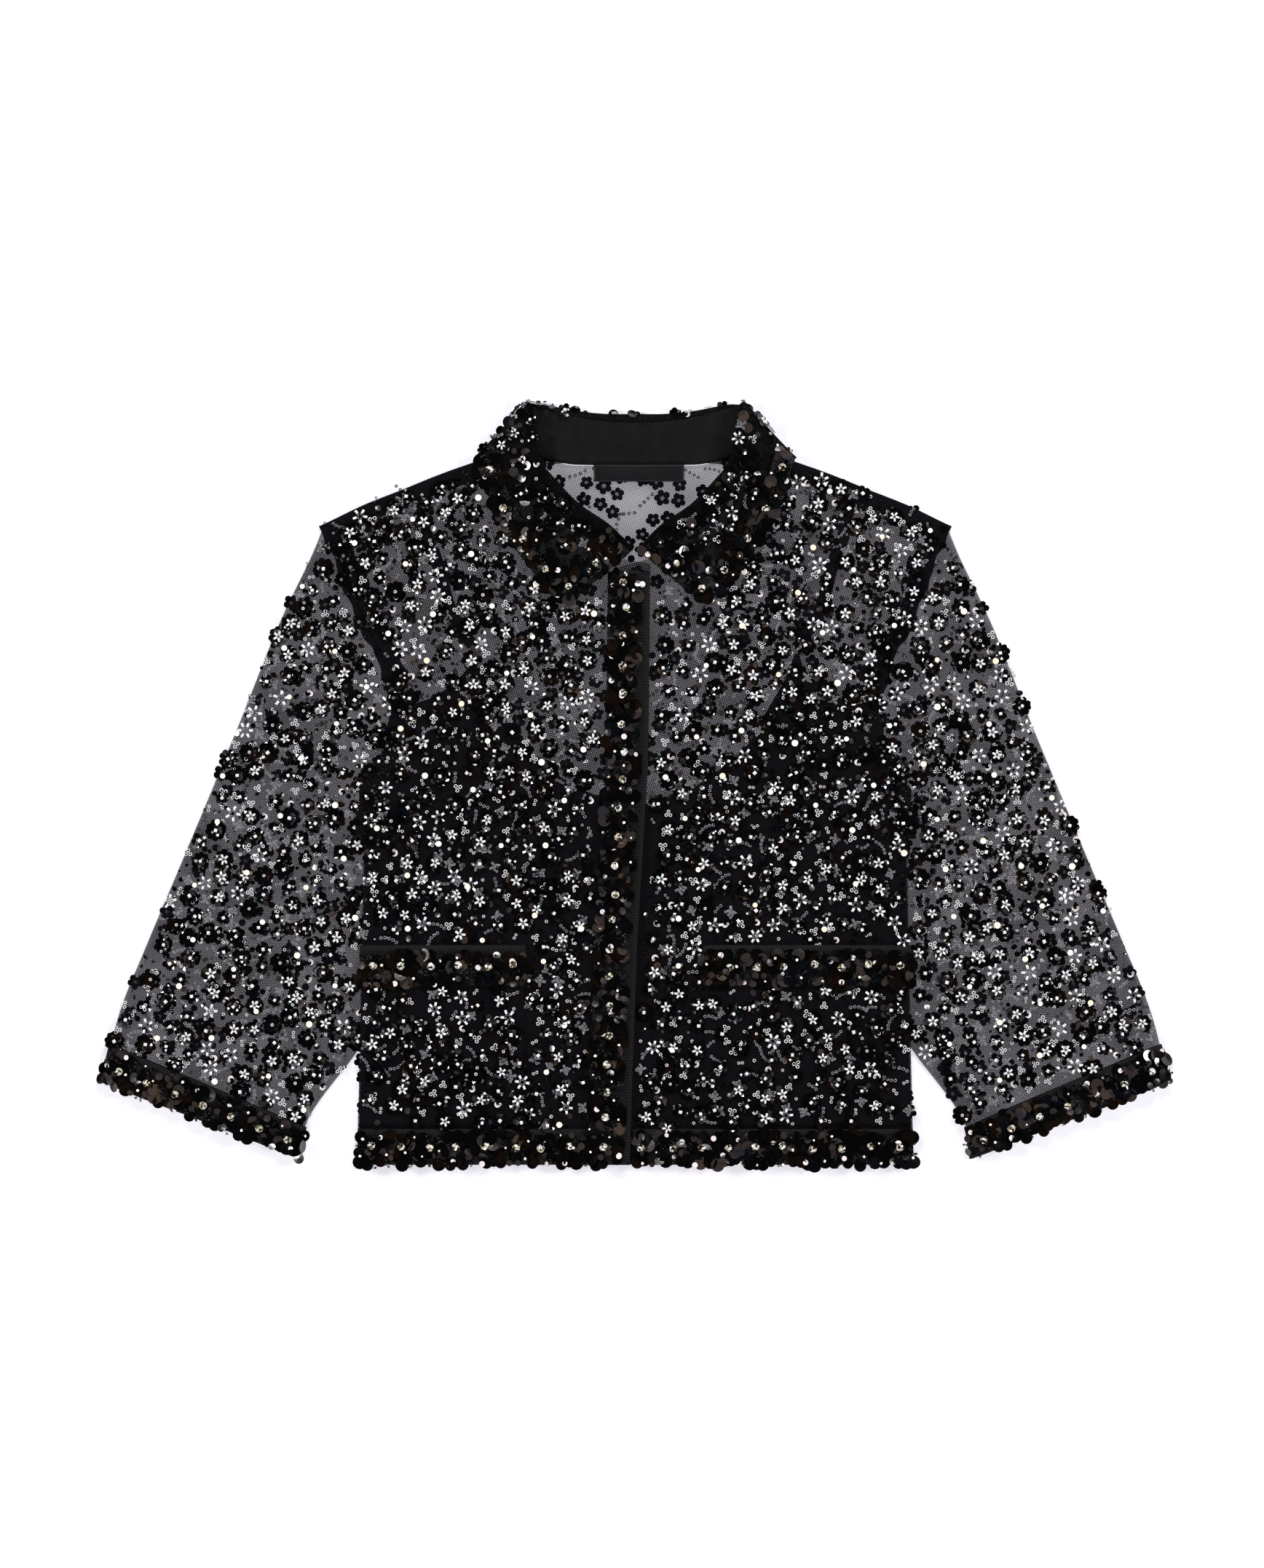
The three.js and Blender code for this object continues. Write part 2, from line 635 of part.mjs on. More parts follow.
// The back's hem trim is under the back panel and bears on the surface
const backHemNet = [0, hemTrimHeight].map((y) => steps(12).map((share) => {
  const x = THREE.MathUtils.lerp(-1, 1, share) * xAt(sideSeam, y);
  return new THREE.Vector3(x, y, 0);
}));
laidWall("hem_trim_back", backHemNet, () => 0, materials.ribbon);

// The collar. Its fall is a wall of net from the outer edge to the fold line, where it turns in
// and meets a plain inner band that runs down to the neck seam. Sections go round the neck: 0 to 1
// under the back from the centre to the shoulder, 1 to 2 round the bend, 2 to 3 over the front.
function rowAt(rows, share) {
  const result = {};
  for (const column of Object.keys(rows[0])) {
    const line = new THREE.CatmullRomCurve3(
      rows.map((row, i) => new THREE.Vector3(i, row[column], 0)),
      false,
      "catmullrom",
      0.5,
    );
    result[column] = line.getPoint(share).y;
  }
  return result;
}

const half = cloth / 2;

function fallPoint(row, share) {
  return new THREE.Vector2(
    THREE.MathUtils.lerp(row.edgeX, row.foldX, share),
    THREE.MathUtils.lerp(row.edgeY, row.foldY, share),
  );
}

function fallBackHeight(share) {
  return half + fallUnder * share * share;
}

function fallFrontHeight(row, share) {
  const point = fallPoint(row, share);
  return bodyTop(point.x, point.y) + leafGap + half + row.rise * smooth(share) * share;
}

// The middle of the fall's wall from edge (0) to the start of the roll (1), on the left half
function fallMiddle(around, share) {
  if (around <= 1) {
    const place = fallPoint(rowAt(collarBack, around), share);
    return new THREE.Vector3(place.x, place.y, fallBackHeight(share));
  }
  if (around >= 2) {
    const row = rowAt(collarFront, around - 2);
    const place = fallPoint(row, share);
    return new THREE.Vector3(place.x, place.y, fallFrontHeight(row, share));
  }
  const angle = Math.PI * (1.5 - around);
  const row = collarFront[0];
  const place = fallPoint(row, share);
  const below = fallBackHeight(share);
  const above = fallFrontHeight(row, share);
  const radius = (above - below) / 2;
  place.addScaledVector(bendOut, radius * Math.cos(angle));
  return new THREE.Vector3(place.x, place.y, (above + below) / 2 - radius * Math.sin(angle));
}

// From the fall to the inner band: up at the back, inward round the bend, down at the front
function turnDirection(around) {
  const angle = Math.PI * (1.5 - THREE.MathUtils.clamp(around, 1, 2));
  const inward = bendOut.clone().multiplyScalar(-Math.cos(angle));
  return new THREE.Vector3(inward.x, inward.y, Math.sin(angle)).normalize();
}

const fallShares = [0, 0.18, 0.36, 0.57, 0.8, 1];
const rollAngles = [0.3, 0.65, 1].map((share) => share * Math.PI);

// A whole section of the fall: flat part, roll and the short turned-in part
function fallSection(around) {
  const flat = fallShares.map((share) => fallMiddle(around, share));
  const start = flat[flat.length - 1];
  const ahead = start.clone().sub(flat[0]).normalize();
  const turn = turnDirection(around);
  const roll = rollAngles.map((angle) => start.clone()
    .addScaledVector(ahead, rollRadius * Math.sin(angle))
    .addScaledVector(turn, rollRadius * (1 - Math.cos(angle))));
  const end = roll[roll.length - 1];
  const turnIn = THREE.MathUtils.lerp(rollTurnIn.back, rollTurnIn.front, smooth(around));
  return { points: [...flat, ...roll, end.clone().addScaledVector(ahead, -turnIn)], ahead };
}

// The middle of the inner band's wall at the neck seam, which it meets in the panels' own steps
function neckMiddle(around) {
  const angle = Math.PI * (1.5 - THREE.MathUtils.clamp(around, 1, 2));
  const neckLine = around < 1.5 ? polyline([...backNeck].reverse()) : polyline(frontNeck);
  const neck = neckLine(around < 1.5 ? around : around - 2);
  const below = backUnderside(neck.x, neck.y) + half;
  const above = bodyTop(neck.x, neck.y) - half;
  const radius = (above - below) / 2;
  const bent = around > 1 && around < 2 ? radius * Math.cos(angle) : 0;
  const height = (above + below) / 2 - radius * Math.sin(angle);
  return new THREE.Vector3(neck.x + bandBendOut.x * bent, neck.y + bandBendOut.y * bent, height);
}

// The inner band's section, from the fall's turned-in edge to the neck seam
function bandSection(around) {
  const { points, ahead } = fallSection(around);
  const start = points[points.length - 1].clone().addScaledVector(ahead, -seamGap - 0.2);
  const level = new THREE.Vector3(ahead.x, ahead.y, 0).normalize();
  const end = neckMiddle(around).addScaledVector(level, neckClear);
  return steps(3).map((share) => start.clone().lerp(end, share));
}

// Both halves of a collar piece, end to end, as two faces half the cloth's thickness off its middle
const collarAround = [
  ...steps(4).slice(0, -1),
  ...steps(6).map((share) => 1 + share),
  ...steps(12).slice(1).map((share) => 2 + share),
];

function wholeCollar(section) {
  const leftHalf = collarAround.map(section);
  const mirrored = (point) => new THREE.Vector3(-point.x, point.y, point.z);
  const rightHalf = leftHalf.slice(1).reverse().map((row) => row.map(mirrored));
  return [...rightHalf, ...leftHalf];
}

function facesOf(rows) {
  const normals = rows.map((row, i) => row.map((_, j) => {
    const [before, after] = [rows[Math.max(i - 1, 0)], rows[Math.min(i + 1, rows.length - 1)]];
    const along = after[j].clone().sub(before[j]);
    const across = row[Math.min(j + 1, row.length - 1)].clone().sub(row[Math.max(j - 1, 0)]);
    return along.cross(across).normalize();
  }));
  const moved = (distance) => rows.map((row, i) => row.map((point, j) => (
    point.clone().addScaledVector(normals[i][j], distance)
  )));
  return [moved(half), moved(-half)];
}

for (const [name, section, material] of [
  ["collar_fall", (around) => fallSection(around).points, materials.net],
  ["collar_inner_band", bandSection, materials.band],
]) {
  const [outer, inner] = facesOf(wholeCollar(section));
  wall(name, outer, inner, material);
}

// The trim of a collar leaf goes along its outer edge to the point and back up its front edge
const leafFrom = 2.02;
const leafBand = 1 / 6; // of the leaf, from the front edge to the row of sections beside it
const leafWidth = 62; // from the edge to the fold
const leafEdges = { outer: 132, front: 60 }; // lengths of its trim
const leafTop = 0.97; // share of the front edge that the trim covers

function leafPlace(side, around, share) {
  const step = 0.01;
  const point = fallMiddle(around, share);
  const [before, after] = [around - step, Math.min(around + step, 3)];
  const [low, high] = [Math.max(share - step, 0), Math.min(share + step, 1)];
  const along = fallMiddle(after, share).sub(fallMiddle(before, share));
  const across = fallMiddle(around, high).sub(fallMiddle(around, low));
  const outward = along.cross(across).normalize();
  if (outward.z < 0) outward.negate();
  point.addScaledVector(outward, half);
  return {
    point: new THREE.Vector3(side * point.x, point.y, point.z),
    outward: new THREE.Vector3(side * outward.x, outward.y, outward.z),
  };
}

function collarTrim(name, side) {
  const bandShare = collarTrimWidth / leafWidth;
  const place = (distance, share) => {
    if (distance <= leafEdges.outer) {
      const progress = distance / leafEdges.outer;
      const outerAround = THREE.MathUtils.lerp(leafFrom, 3, progress);
      const innerAround = THREE.MathUtils.lerp(leafFrom, 3 - leafBand, progress);
      return leafPlace(side, THREE.MathUtils.lerp(outerAround, innerAround, share), bandShare * share);
    }
    const progress = (distance - leafEdges.outer) / leafEdges.front;
    const outerShare = leafTop * progress;
    const innerShare = THREE.MathUtils.lerp(bandShare, leafTop, progress);
    return leafPlace(side, 3 - leafBand * share, THREE.MathUtils.lerp(outerShare, innerShare, share));
  };
  const length = leafEdges.outer + leafEdges.front;
  beadedRibbon(name, place, length, firstStone.collar, stoneAcross, 0.5, 2 * gap);
}

collarTrim("collar_trim_right", -1);
collarTrim("collar_trim_left", 1);

// The neck label is left blank
const labelNet = [labelBox.minY, labelBox.maxY].map((y) => steps(4).map((share) => (
  new THREE.Vector3(THREE.MathUtils.lerp(labelBox.minX, labelBox.maxX, share), y, 0)
)));
laidWall("neck_label", labelNet, (x, y) => backUnderside(x, y) + pitch, materials.label);

// Press studs are low domes on the front trim and on the hem
for (const [name, place] of Object.entries(studPlaces)) {
  const profile = [
    new THREE.Vector2(0, 0),
    new THREE.Vector2(studRadius, 0),
    new THREE.Vector2(studRadius, studRim),
    new THREE.Vector2(studRadius * 0.7, studHeight * 0.86),
    new THREE.Vector2(0, studHeight),
  ];
  const geometry = new THREE.LatheGeometry(profile, 16);
  const mesh = new THREE.Mesh(geometry.rotateX(Math.PI / 2), materials.stud);
  mesh.name = name;
  mesh.position.set(place.x, place.y, overFrontUnderside(place.x, place.y) + cloth + pitch + gap);
  blouse.add(mesh);
}

// The origin is under the middle of the laid-out blouse
const bounds = new THREE.Box3().setFromObject(blouse);
const middle = bounds.getCenter(new THREE.Vector3());
blouse.position.set(-middle.x, -middle.y, -bounds.min.z);

export default blouse;
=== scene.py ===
import json
import math

import bpy
import numpy as np
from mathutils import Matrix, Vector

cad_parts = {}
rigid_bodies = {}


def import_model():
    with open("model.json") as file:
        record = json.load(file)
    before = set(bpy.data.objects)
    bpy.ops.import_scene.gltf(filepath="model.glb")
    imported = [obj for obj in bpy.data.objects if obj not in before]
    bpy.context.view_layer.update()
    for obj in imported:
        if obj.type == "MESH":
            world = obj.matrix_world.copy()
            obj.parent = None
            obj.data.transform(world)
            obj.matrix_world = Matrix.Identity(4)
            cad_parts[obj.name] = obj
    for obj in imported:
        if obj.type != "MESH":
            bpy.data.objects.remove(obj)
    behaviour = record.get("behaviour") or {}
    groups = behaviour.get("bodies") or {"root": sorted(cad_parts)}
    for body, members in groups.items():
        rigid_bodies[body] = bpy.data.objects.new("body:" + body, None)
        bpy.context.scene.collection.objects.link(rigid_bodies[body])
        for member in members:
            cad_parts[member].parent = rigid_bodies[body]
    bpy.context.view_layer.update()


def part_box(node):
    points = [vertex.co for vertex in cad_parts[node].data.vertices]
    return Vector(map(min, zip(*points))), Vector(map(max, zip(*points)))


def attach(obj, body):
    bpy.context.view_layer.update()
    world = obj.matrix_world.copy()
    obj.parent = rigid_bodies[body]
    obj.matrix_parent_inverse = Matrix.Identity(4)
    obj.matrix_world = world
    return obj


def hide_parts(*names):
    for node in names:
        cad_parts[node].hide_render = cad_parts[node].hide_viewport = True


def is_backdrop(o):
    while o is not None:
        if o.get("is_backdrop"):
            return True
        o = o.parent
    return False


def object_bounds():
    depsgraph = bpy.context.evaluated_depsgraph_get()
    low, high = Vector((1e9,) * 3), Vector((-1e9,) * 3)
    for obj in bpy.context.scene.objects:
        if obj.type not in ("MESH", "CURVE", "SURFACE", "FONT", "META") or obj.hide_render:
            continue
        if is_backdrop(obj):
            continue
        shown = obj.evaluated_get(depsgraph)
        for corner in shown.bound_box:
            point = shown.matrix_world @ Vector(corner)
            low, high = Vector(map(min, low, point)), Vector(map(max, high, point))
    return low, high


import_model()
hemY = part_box("hem_trim_back")[0].y * 1000  # the hem's place in the frame; y is counted from it here
pieces = {}
print("frame loaded")


# Small helpers for lines and heights
def smooth(t):
    t = np.clip(t, 0, 1)
    return t * t * (3 - 2 * t)


def ramp(distance, start, length):
    return smooth((distance - start) / length)


def lerp(low, high, share):
    return low + (high - low) * share


def lineThrough(rows):
    # a smooth line through (x, y) rows, read by share of its length
    p = np.array(rows, float)
    p = np.vstack([2 * p[0] - p[1], p, 2 * p[-1] - p[-2]])
    t = np.linspace(0, 1, 33)[:-1, None]
    dense = []
    for a, b, c, d in zip(p, p[1:], p[2:], p[3:]):
        ab, bc, cd = (max(np.linalg.norm(k), 1e-4) ** 0.5 for k in (b - a, c - b, d - c))
        out = ((b - a) / ab - (c - a) / (ab + bc) + (c - b) / bc) * bc
        into = ((c - b) / bc - (d - b) / (bc + cd) + (d - c) / cd) * bc
        dense.append(b + t * out + t**2 * (3 * (c - b) - 2 * out - into) + t**3 * (2 * (b - c) + out + into))
    dense = np.vstack([*dense, p[-2]])
    along = np.concatenate([[0], np.cumsum(np.linalg.norm(np.diff(dense, axis=0), axis=1))])
    along /= along[-1]
    return lambda share: np.stack([np.interp(share, along, dense[:, k]) for k in (0, 1)], -1)


def stepsThrough(rows):
    # straight steps from row to row
    p = np.array(rows, float)
    at = np.linspace(0, 1, len(p))
    return lambda share: np.stack([np.interp(share, at, p[:, k]) for k in (0, 1)], -1)


def joined(first, second, meet):
    # two lines end to end, the first up to the share where they meet
    def both(share):
        share = np.asarray(share, float)
        low = first(np.clip(share / meet, 0, 1))
        high = second(np.clip((share - meet) / (1 - meet), 0, 1))
        return np.where((share <= meet)[..., None], low, high)

    return both


def xAt(rows, y):
    # the x of a table's line at a height, in straight steps
    rows = sorted(rows, key=lambda row: row[1])
    return np.interp(y, [row[1] for row in rows], [row[0] for row in rows])


def netOf(low, high, start, end, across, up):
    # points inside four lines: low and high run across, start and end run up
    u, v = across[None, :, None], up[:, None, None]
    corners = (1 - u) * (1 - v) * low(0.0) + u * (1 - v) * low(1.0)
    corners = corners + (1 - u) * v * high(0.0) + u * v * high(1.0)
    sides = (1 - u) * start(up)[:, None] + u * end(up)[:, None]
    return (1 - v) * low(across)[None] + v * high(across)[None] + sides - corners


def creaseLift(table, x, y):
    # the height that a table's creases add, each a soft ridge
    lift = np.zeros(np.broadcast(x, y).shape)
    for centreX, centreY, turn, long, wide, height in table:
        c, s = math.cos(math.radians(turn)), math.sin(math.radians(turn))
        along = (x - centreX) * c + (y - centreY) * s
        beside = (y - centreY) * c - (x - centreX) * s
        lift = lift + height * np.exp(-((along / long) ** 2) - (beside / wide) ** 2)
    return lift


# Small helpers for meshes
def gridFaces(rows, columns, wrap=False):
    index = np.arange(rows * columns).reshape(rows, columns)
    if wrap:
        index = np.hstack([index, index[:, :1]])
    return np.stack([index[:-1, :-1], index[:-1, 1:], index[1:, 1:], index[1:, :-1]], -1).reshape(-1, 4)


def facingUp(points, faces):
    # the faces in the order that points them up
    corners = points[faces[:, :3]]
    normals = np.cross(corners[:, 1] - corners[:, 0], corners[:, 2] - corners[:, 0])
    return faces if normals[:, 2].sum() > 0 else faces[:, ::-1]


def meshOf(name, points, faces, uv=None, zone=None):
    # points and uv are in mm; zone says where beads may be sewn, from 0 to 1 at each point
    mesh = bpy.data.meshes.new(name)
    placed = (np.asarray(points, float) + (0, hemY, 0)) / 1000
    mesh.from_pydata(placed.tolist(), [], [list(face) for face in faces])
    mesh.validate()
    if uv is not None:
        layer = mesh.uv_layers.new(name="cut")
        loops = np.zeros(len(mesh.loops), int)
        mesh.loops.foreach_get("vertex_index", loops)
        layer.data.foreach_set("uv", (np.asarray(uv) / 1000)[loops].ravel())
    if zone is not None:
        attribute = mesh.attributes.new("beadZone", "FLOAT", "POINT")
        attribute.data.foreach_set("value", np.asarray(zone, float).ravel())
    mesh.polygons.foreach_set("use_smooth", [True] * len(mesh.polygons))
    mesh.update()
    return mesh


def addObject(name, mesh, material, thickness=0.0):
    piece = bpy.data.objects.new(name, mesh)
    bpy.context.scene.collection.objects.link(piece)
    if material:
        mesh.materials.clear()
        mesh.materials.append(material)
    if thickness:
        wall = piece.modifiers.new("thickness", "SOLIDIFY")
        wall.thickness = thickness / 1000
        wall.offset = -1
    return piece


def addSheet(name, grid, material, uv=None, thickness=0.0, wrap=False, up=True):
    # grid: rows x columns x 3. Its upper face is the outer one unless up is False.
    rows, columns = grid.shape[:2]
    points = grid.reshape(-1, 3)
    faces = gridFaces(rows, columns, wrap)
    if not wrap:
        faces = facingUp(points, faces)
        faces = faces if up else faces[:, ::-1]
    flatUv = points[:, :2] if uv is None else uv.reshape(-1, 2)
    pieces[name] = addObject(name, meshOf(name, points, faces, flatUv), material, thickness)


def node(tree, kind, inputs=None, **settings):
    # a node with its settings, its inputs' values and the links into it
    made = tree.nodes.new(kind)
    for name, value in settings.items():
        setattr(made, name, value)
    for key, value in (inputs or {}).items():
        if isinstance(value, bpy.types.NodeSocket):
            tree.links.new(value, made.inputs[key])
        else:
            made.inputs[key].default_value = value
    return made


def colour(hexCode):
    channels = [int(hexCode[i : i + 2], 16) / 255 for i in (1, 3, 5)]
    return (*[c / 12.92 if c <= 0.04045 else ((c + 0.055) / 1.055) ** 2.4 for c in channels], 1)


def newMaterial(name, shader):
    # shader: values of the principled shader's inputs
    material = bpy.data.materials.new(name)
    material.use_nodes = True
    tree = material.node_tree
    tree.nodes.clear()
    principled = node(tree, "ShaderNodeBsdfPrincipled", shader)
    node(tree, "ShaderNodeOutputMaterial", {"Surface": principled.outputs[0]})
    return material, tree, principled


def bumpFrom(tree, height, strength, depthMm):
    settings = {"Height": height, "Strength": strength, "Distance": depthMm / 1000}
    return node(tree, "ShaderNodeBump", settings).outputs[0]


def bandsAcross(tree, spacingMm, axis, distortion):
    # waves along the cut's x or y, one for each thread or rib
    scale = 2 * math.pi / 20 * 1000 / spacingMm
    spot = node(tree, "ShaderNodeTexCoord").outputs["UV"]
    settings = {"Vector": spot, "Scale": scale, "Distortion": distortion}
    return node(tree, "ShaderNodeTexWave", settings, bands_direction=axis).outputs["Fac"]


def shadedColour(tree, principled, hexCode, factor, low, high, darkest, lightest):
    # the colour times a factor, which is mapped from low and high to darkest and lightest
    settings = {0: factor, 1: low, 2: high, 3: darkest, 4: lightest}
    shade = node(tree, "ShaderNodeMapRange", settings).outputs[0]
    settings = {0: colour(hexCode)[:3], "Scale": shade}
    tint = node(tree, "ShaderNodeVectorMath", settings, operation="SCALE").outputs[0]
    tree.links.new(tint, principled.inputs["Base Color"])


def castColour(tree, principled, cellsPerMetre, stops, steps):
    # one colour picked by chance for each cell; stops: place and colour, the first at 0, the last at 1
    spot = node(tree, "ShaderNodeTexCoord").outputs["Object"]
    cells = node(tree, "ShaderNodeTexVoronoi", {"Vector": spot, "Scale": cellsPerMetre}).outputs["Color"]
    pick = node(tree, "ShaderNodeSeparateColor", {0: cells}).outputs[0]
    picked = node(tree, "ShaderNodeValToRGB", {0: pick})
    ends = picked.color_ramp.elements
    ends[0].color, ends[1].color = colour(stops[0][1]), colour(stops[-1][1])
    for place, tint in stops[1:-1]:
        ends.new(place).color = colour(tint)
    picked.color_ramp.interpolation = "CONSTANT" if steps else "LINEAR"
    tree.links.new(picked.outputs[0], principled.inputs["Base Color"])


# Nylon tulle: warp-knitted dull nylon thread with hexagonal holes. The eye gets a grey veil with no
# shine, darker where layers meet. The holes are drawn 1.6 mm apart, coarser than real ones, so that
# they just show. Cover is given for one face of the shell, so a wall covers about twice as much.
tulleLook = {"holeMm": 1.6, "turn": 17, "cloudsPerMetre": 26, "unevenness": 0.05}
netWall = 0.3


def hexPattern(tree, pitchMm):
    # three sets of waves 60 degrees apart peak at the middle of each hexagonal hole
    spot = node(tree, "ShaderNodeTexCoord").outputs["UV"]
    wave = 2 * math.pi * 1000 / pitchMm
    total = None
    for turn in (0, 60, 120):
        angle = math.radians(tulleLook["turn"] + turn)
        along = {0: spot, 1: (math.cos(angle) * wave, math.sin(angle) * wave, 0)}
        dot = node(tree, "ShaderNodeVectorMath", along, operation="DOT_PRODUCT").outputs["Value"]
        cosine = node(tree, "ShaderNodeMath", {0: dot}, operation="COSINE").outputs[0]
        if total:
            cosine = node(tree, "ShaderNodeMath", {0: total, 1: cosine}, operation="ADD").outputs[0]
        total = cosine
    return total


def tulleMaterial(name, hexCode, holeCover, threadCover):
    shader = {"Base Color": colour(hexCode), "Roughness": 0.85, "Specular IOR Level": 0.04}
    material, tree, principled = newMaterial(name, shader)
    holes = hexPattern(tree, tulleLook["holeMm"])
    settings = {0: holes, 1: -1.5, 2: 3, 3: threadCover, 4: holeCover}  # three waves add up to -1.5 to 3
    cover = node(tree, "ShaderNodeMapRange", settings).outputs[0]
    spot = node(tree, "ShaderNodeTexCoord").outputs["Object"]
    settings = {"Vector": spot, "Scale": tulleLook["cloudsPerMetre"], "Detail": 2}
    cloud = node(tree, "ShaderNodeTexNoise", settings).outputs[0]
    settings = {0: cloud, 1: 0.3, 2: 0.7, 3: -tulleLook["unevenness"], 4: tulleLook["unevenness"]}
    uneven = node(tree, "ShaderNodeMapRange", settings).outputs[0]
    total = node(tree, "ShaderNodeMath", {0: cover, 1: uneven}, operation="ADD", use_clamp=True).outputs[0]
    tree.links.new(total, principled.inputs["Alpha"])
    return material


tulle = tulleMaterial("nylon tulle", "#131115", 0.175, 0.51)
frontTulle = tulleMaterial("close nylon tulle", "#131115", 0.235, 0.565)
doubledTulle = tulleMaterial("doubled nylon tulle", "#0a090a", 0.55, 0.86)


# Woven cloths, dyed black: crepe and tape are matt all over, the cotton band a little greyer, and the
# satin label has a low sheen. Threads are drawn 1 to 1.6 mm apart, coarser than real, so that they show.
def wovenMaterial(name, hexCode, threadMm, roughness, depthMm, specular):
    shader = {"Base Color": colour(hexCode), "Roughness": roughness, "Specular IOR Level": specular}
    material, tree, principled = newMaterial(name, shader)
    threads = [bandsAcross(tree, threadMm, axis, 0.6) for axis in ("X", "Y")]
    weave = node(tree, "ShaderNodeMath", {0: threads[0], 1: threads[1]}, operation="MULTIPLY").outputs[0]
    spot = node(tree, "ShaderNodeTexCoord").outputs["UV"]
    noise = node(tree, "ShaderNodeTexNoise", {"Vector": spot, "Scale": 60, "Detail": 4}).outputs[0]
    shadedColour(tree, principled, hexCode, noise, 0.3, 0.7, 0.75, 1.3)
    tree.links.new(bumpFrom(tree, weave, 0.4, depthMm), principled.inputs["Normal"])
    return material


liningCrepe = wovenMaterial("polyester crepe", "#0a090a", 1.6, 0.9, 0.2, 0.05)
bandCloth = wovenMaterial("cotton band", "#110f10", 1.6, 0.85, 0.2, 0.1)
labelSatin = wovenMaterial("woven satin", "#0d0c0f", 1.0, 0.5, 0.08, 0.2)
seamTape = wovenMaterial("seam tape", "#0a090b", 1.6, 0.8, 0.2, 0.05)


# Grosgrain ribbon: woven with thick cross ribs, which the eye sees as fine lines with a low sheen; their
# colour is painted lighter on each rib's crest and darker in the grooves, as painted highlight and painted
# shade, besides the ribs' bump.
# The ribs are drawn 2.2 mm apart, about twice as coarse as real ones, so that they show.
def grosgrainMaterial(ribMm):
    shader = {"Roughness": 0.6, "Specular IOR Level": 0.1}
    material, tree, principled = newMaterial("grosgrain ribbon", shader)
    ribs = bandsAcross(tree, ribMm, "X", 0.2)
    # painted highlight on the rib crests and painted shade in the grooves, from the same wave as the bump
    shadedColour(tree, principled, "#100f10", ribs, 0, 1, 0.7, 1.5)
    tree.links.new(bumpFrom(tree, ribs, 0.6, 0.3), principled.inputs["Normal"])
    return material


grosgrain = grosgrainMaterial(2.2)


# PET sequins: punched from glossy film and cupped, so each one mirrors a light as a small sharp spot.
# Some have a warm or a cool cast, picked in cells 9 mm apart, about a sequin's width.
def sequinMaterial(name, plain, warm, cool, roughness):
    material, tree, principled = newMaterial(name, {"Roughness": roughness, "IOR": 1.57})
    stops = [(0, plain), (0.6, plain), (0.78, warm), (0.86, plain), (1, cool)]
    castColour(tree, principled, 110, stops, steps=False)
    return material


blackSequin = sequinMaterial("black PET sequin", "#030303", "#130a06", "#07090f", 0.13)
smokeSequin = sequinMaterial("smoke PET sequin", "#2f2928", "#43372f", "#26252d", 0.2)
# Clear sequins are painted near white all over: a painted glint, the lamp caught in the clear film put into
# their colour.
glintPaintedSequin = sequinMaterial("clear PET sequin", "#fff6ea", "#ffe9cc", "#fffaf4", 0.15)
pearlSequin = sequinMaterial("pearl PET sequin", "#eadde1", "#f3e8e6", "#d6cdd8", 0.25)


# Glass beads: drawn tube cut short and tumbled. Silver-lined ones look bright all over, clear ones
# a little greyer, and black ones wet.
def beadMaterial(name, hexCode, roughness, metallic, coat):
    shader = {"Base Color": colour(hexCode), "Roughness": roughness, "Metallic": metallic}
    return newMaterial(name, shader | {"Coat Weight": coat})[0]


silverBead = beadMaterial("silver-lined glass bead", "#f1f0f2", 0.22, 0.2, 0.4)
clearBead = beadMaterial("clear glass bead", "#a09fa5", 0.12, 0.25, 0.5)
blackBead = beadMaterial("black glass bead", "#060506", 0.08, 0.0, 0.0)


# Foiled glass stone: pressed and polished over a pale gold foil. Each facet is painted light or dark by
# chance, from dark brown to white:
# painted reflections of the lamps, painted shade and painted glints. The cells are 1.6 mm apart, the width of
# a facet.
def stoneMaterial():
    material, tree, principled = newMaterial("foiled glass stone", {"Roughness": 0.12, "Metallic": 0.3})
    # painted shade, painted reflection and white painted glints, one picked for each facet-wide cell
    stops = [(0, "#1f1912"), (0.3, "#5f543d"), (0.52, "#d6cbad"), (0.75, "#ffffff"), (1, "#ffffff")]
    castColour(tree, principled, 640, stops, steps=True)
    return material


stoneGlass = stoneMaterial()

# Moulded nylon: the press studs' pale plastic, smooth with a soft highlight
studPlastic = newMaterial("moulded nylon", {"Base Color": colour("#e6e5e7"), "Roughness": 0.35})[0]
print("materials made")

# The cut, as half outlines of (x, y) rows from the hem up, with layers as thick as the solids' walls
cloth = 1.0
gap = 0.4  # air between a layer and what it lies on
pitch = cloth + gap
underarmY = 286
hemTrimY = 27
pocketTopY = 166
pocketIn = {"right": 84, "left": 52.5}  # the pockets' inner edges
shoulderBow = 5  # of the shoulder seam above a straight line
sideSeam = [(210.4, 0), (208.2, 84), (204.9, 247), (202.1, 286)]
armhole = [(202.1, 286), (187, 311), (180.1, 336), (182.9, 358), (191, 385), (205, 412)]
armhole += [(216, 440), (224, 462), (234, 485)]
shoulder = [(234, 485), (205, 499), (177, 510), (150, 521), (122, 531), (84, 543)]
overEdge = [(-4.1, 0), (-2.5, 55), (1.4, 165), (9.6, 302), (11.3, 454)]
underEdge = [(-24, 0), (-18, 165), (-14, 302), (-12, 452)]
strapLine = [(122.6, 391.5), (139, 418), (150, 456), (157, 474), (163, 508)]

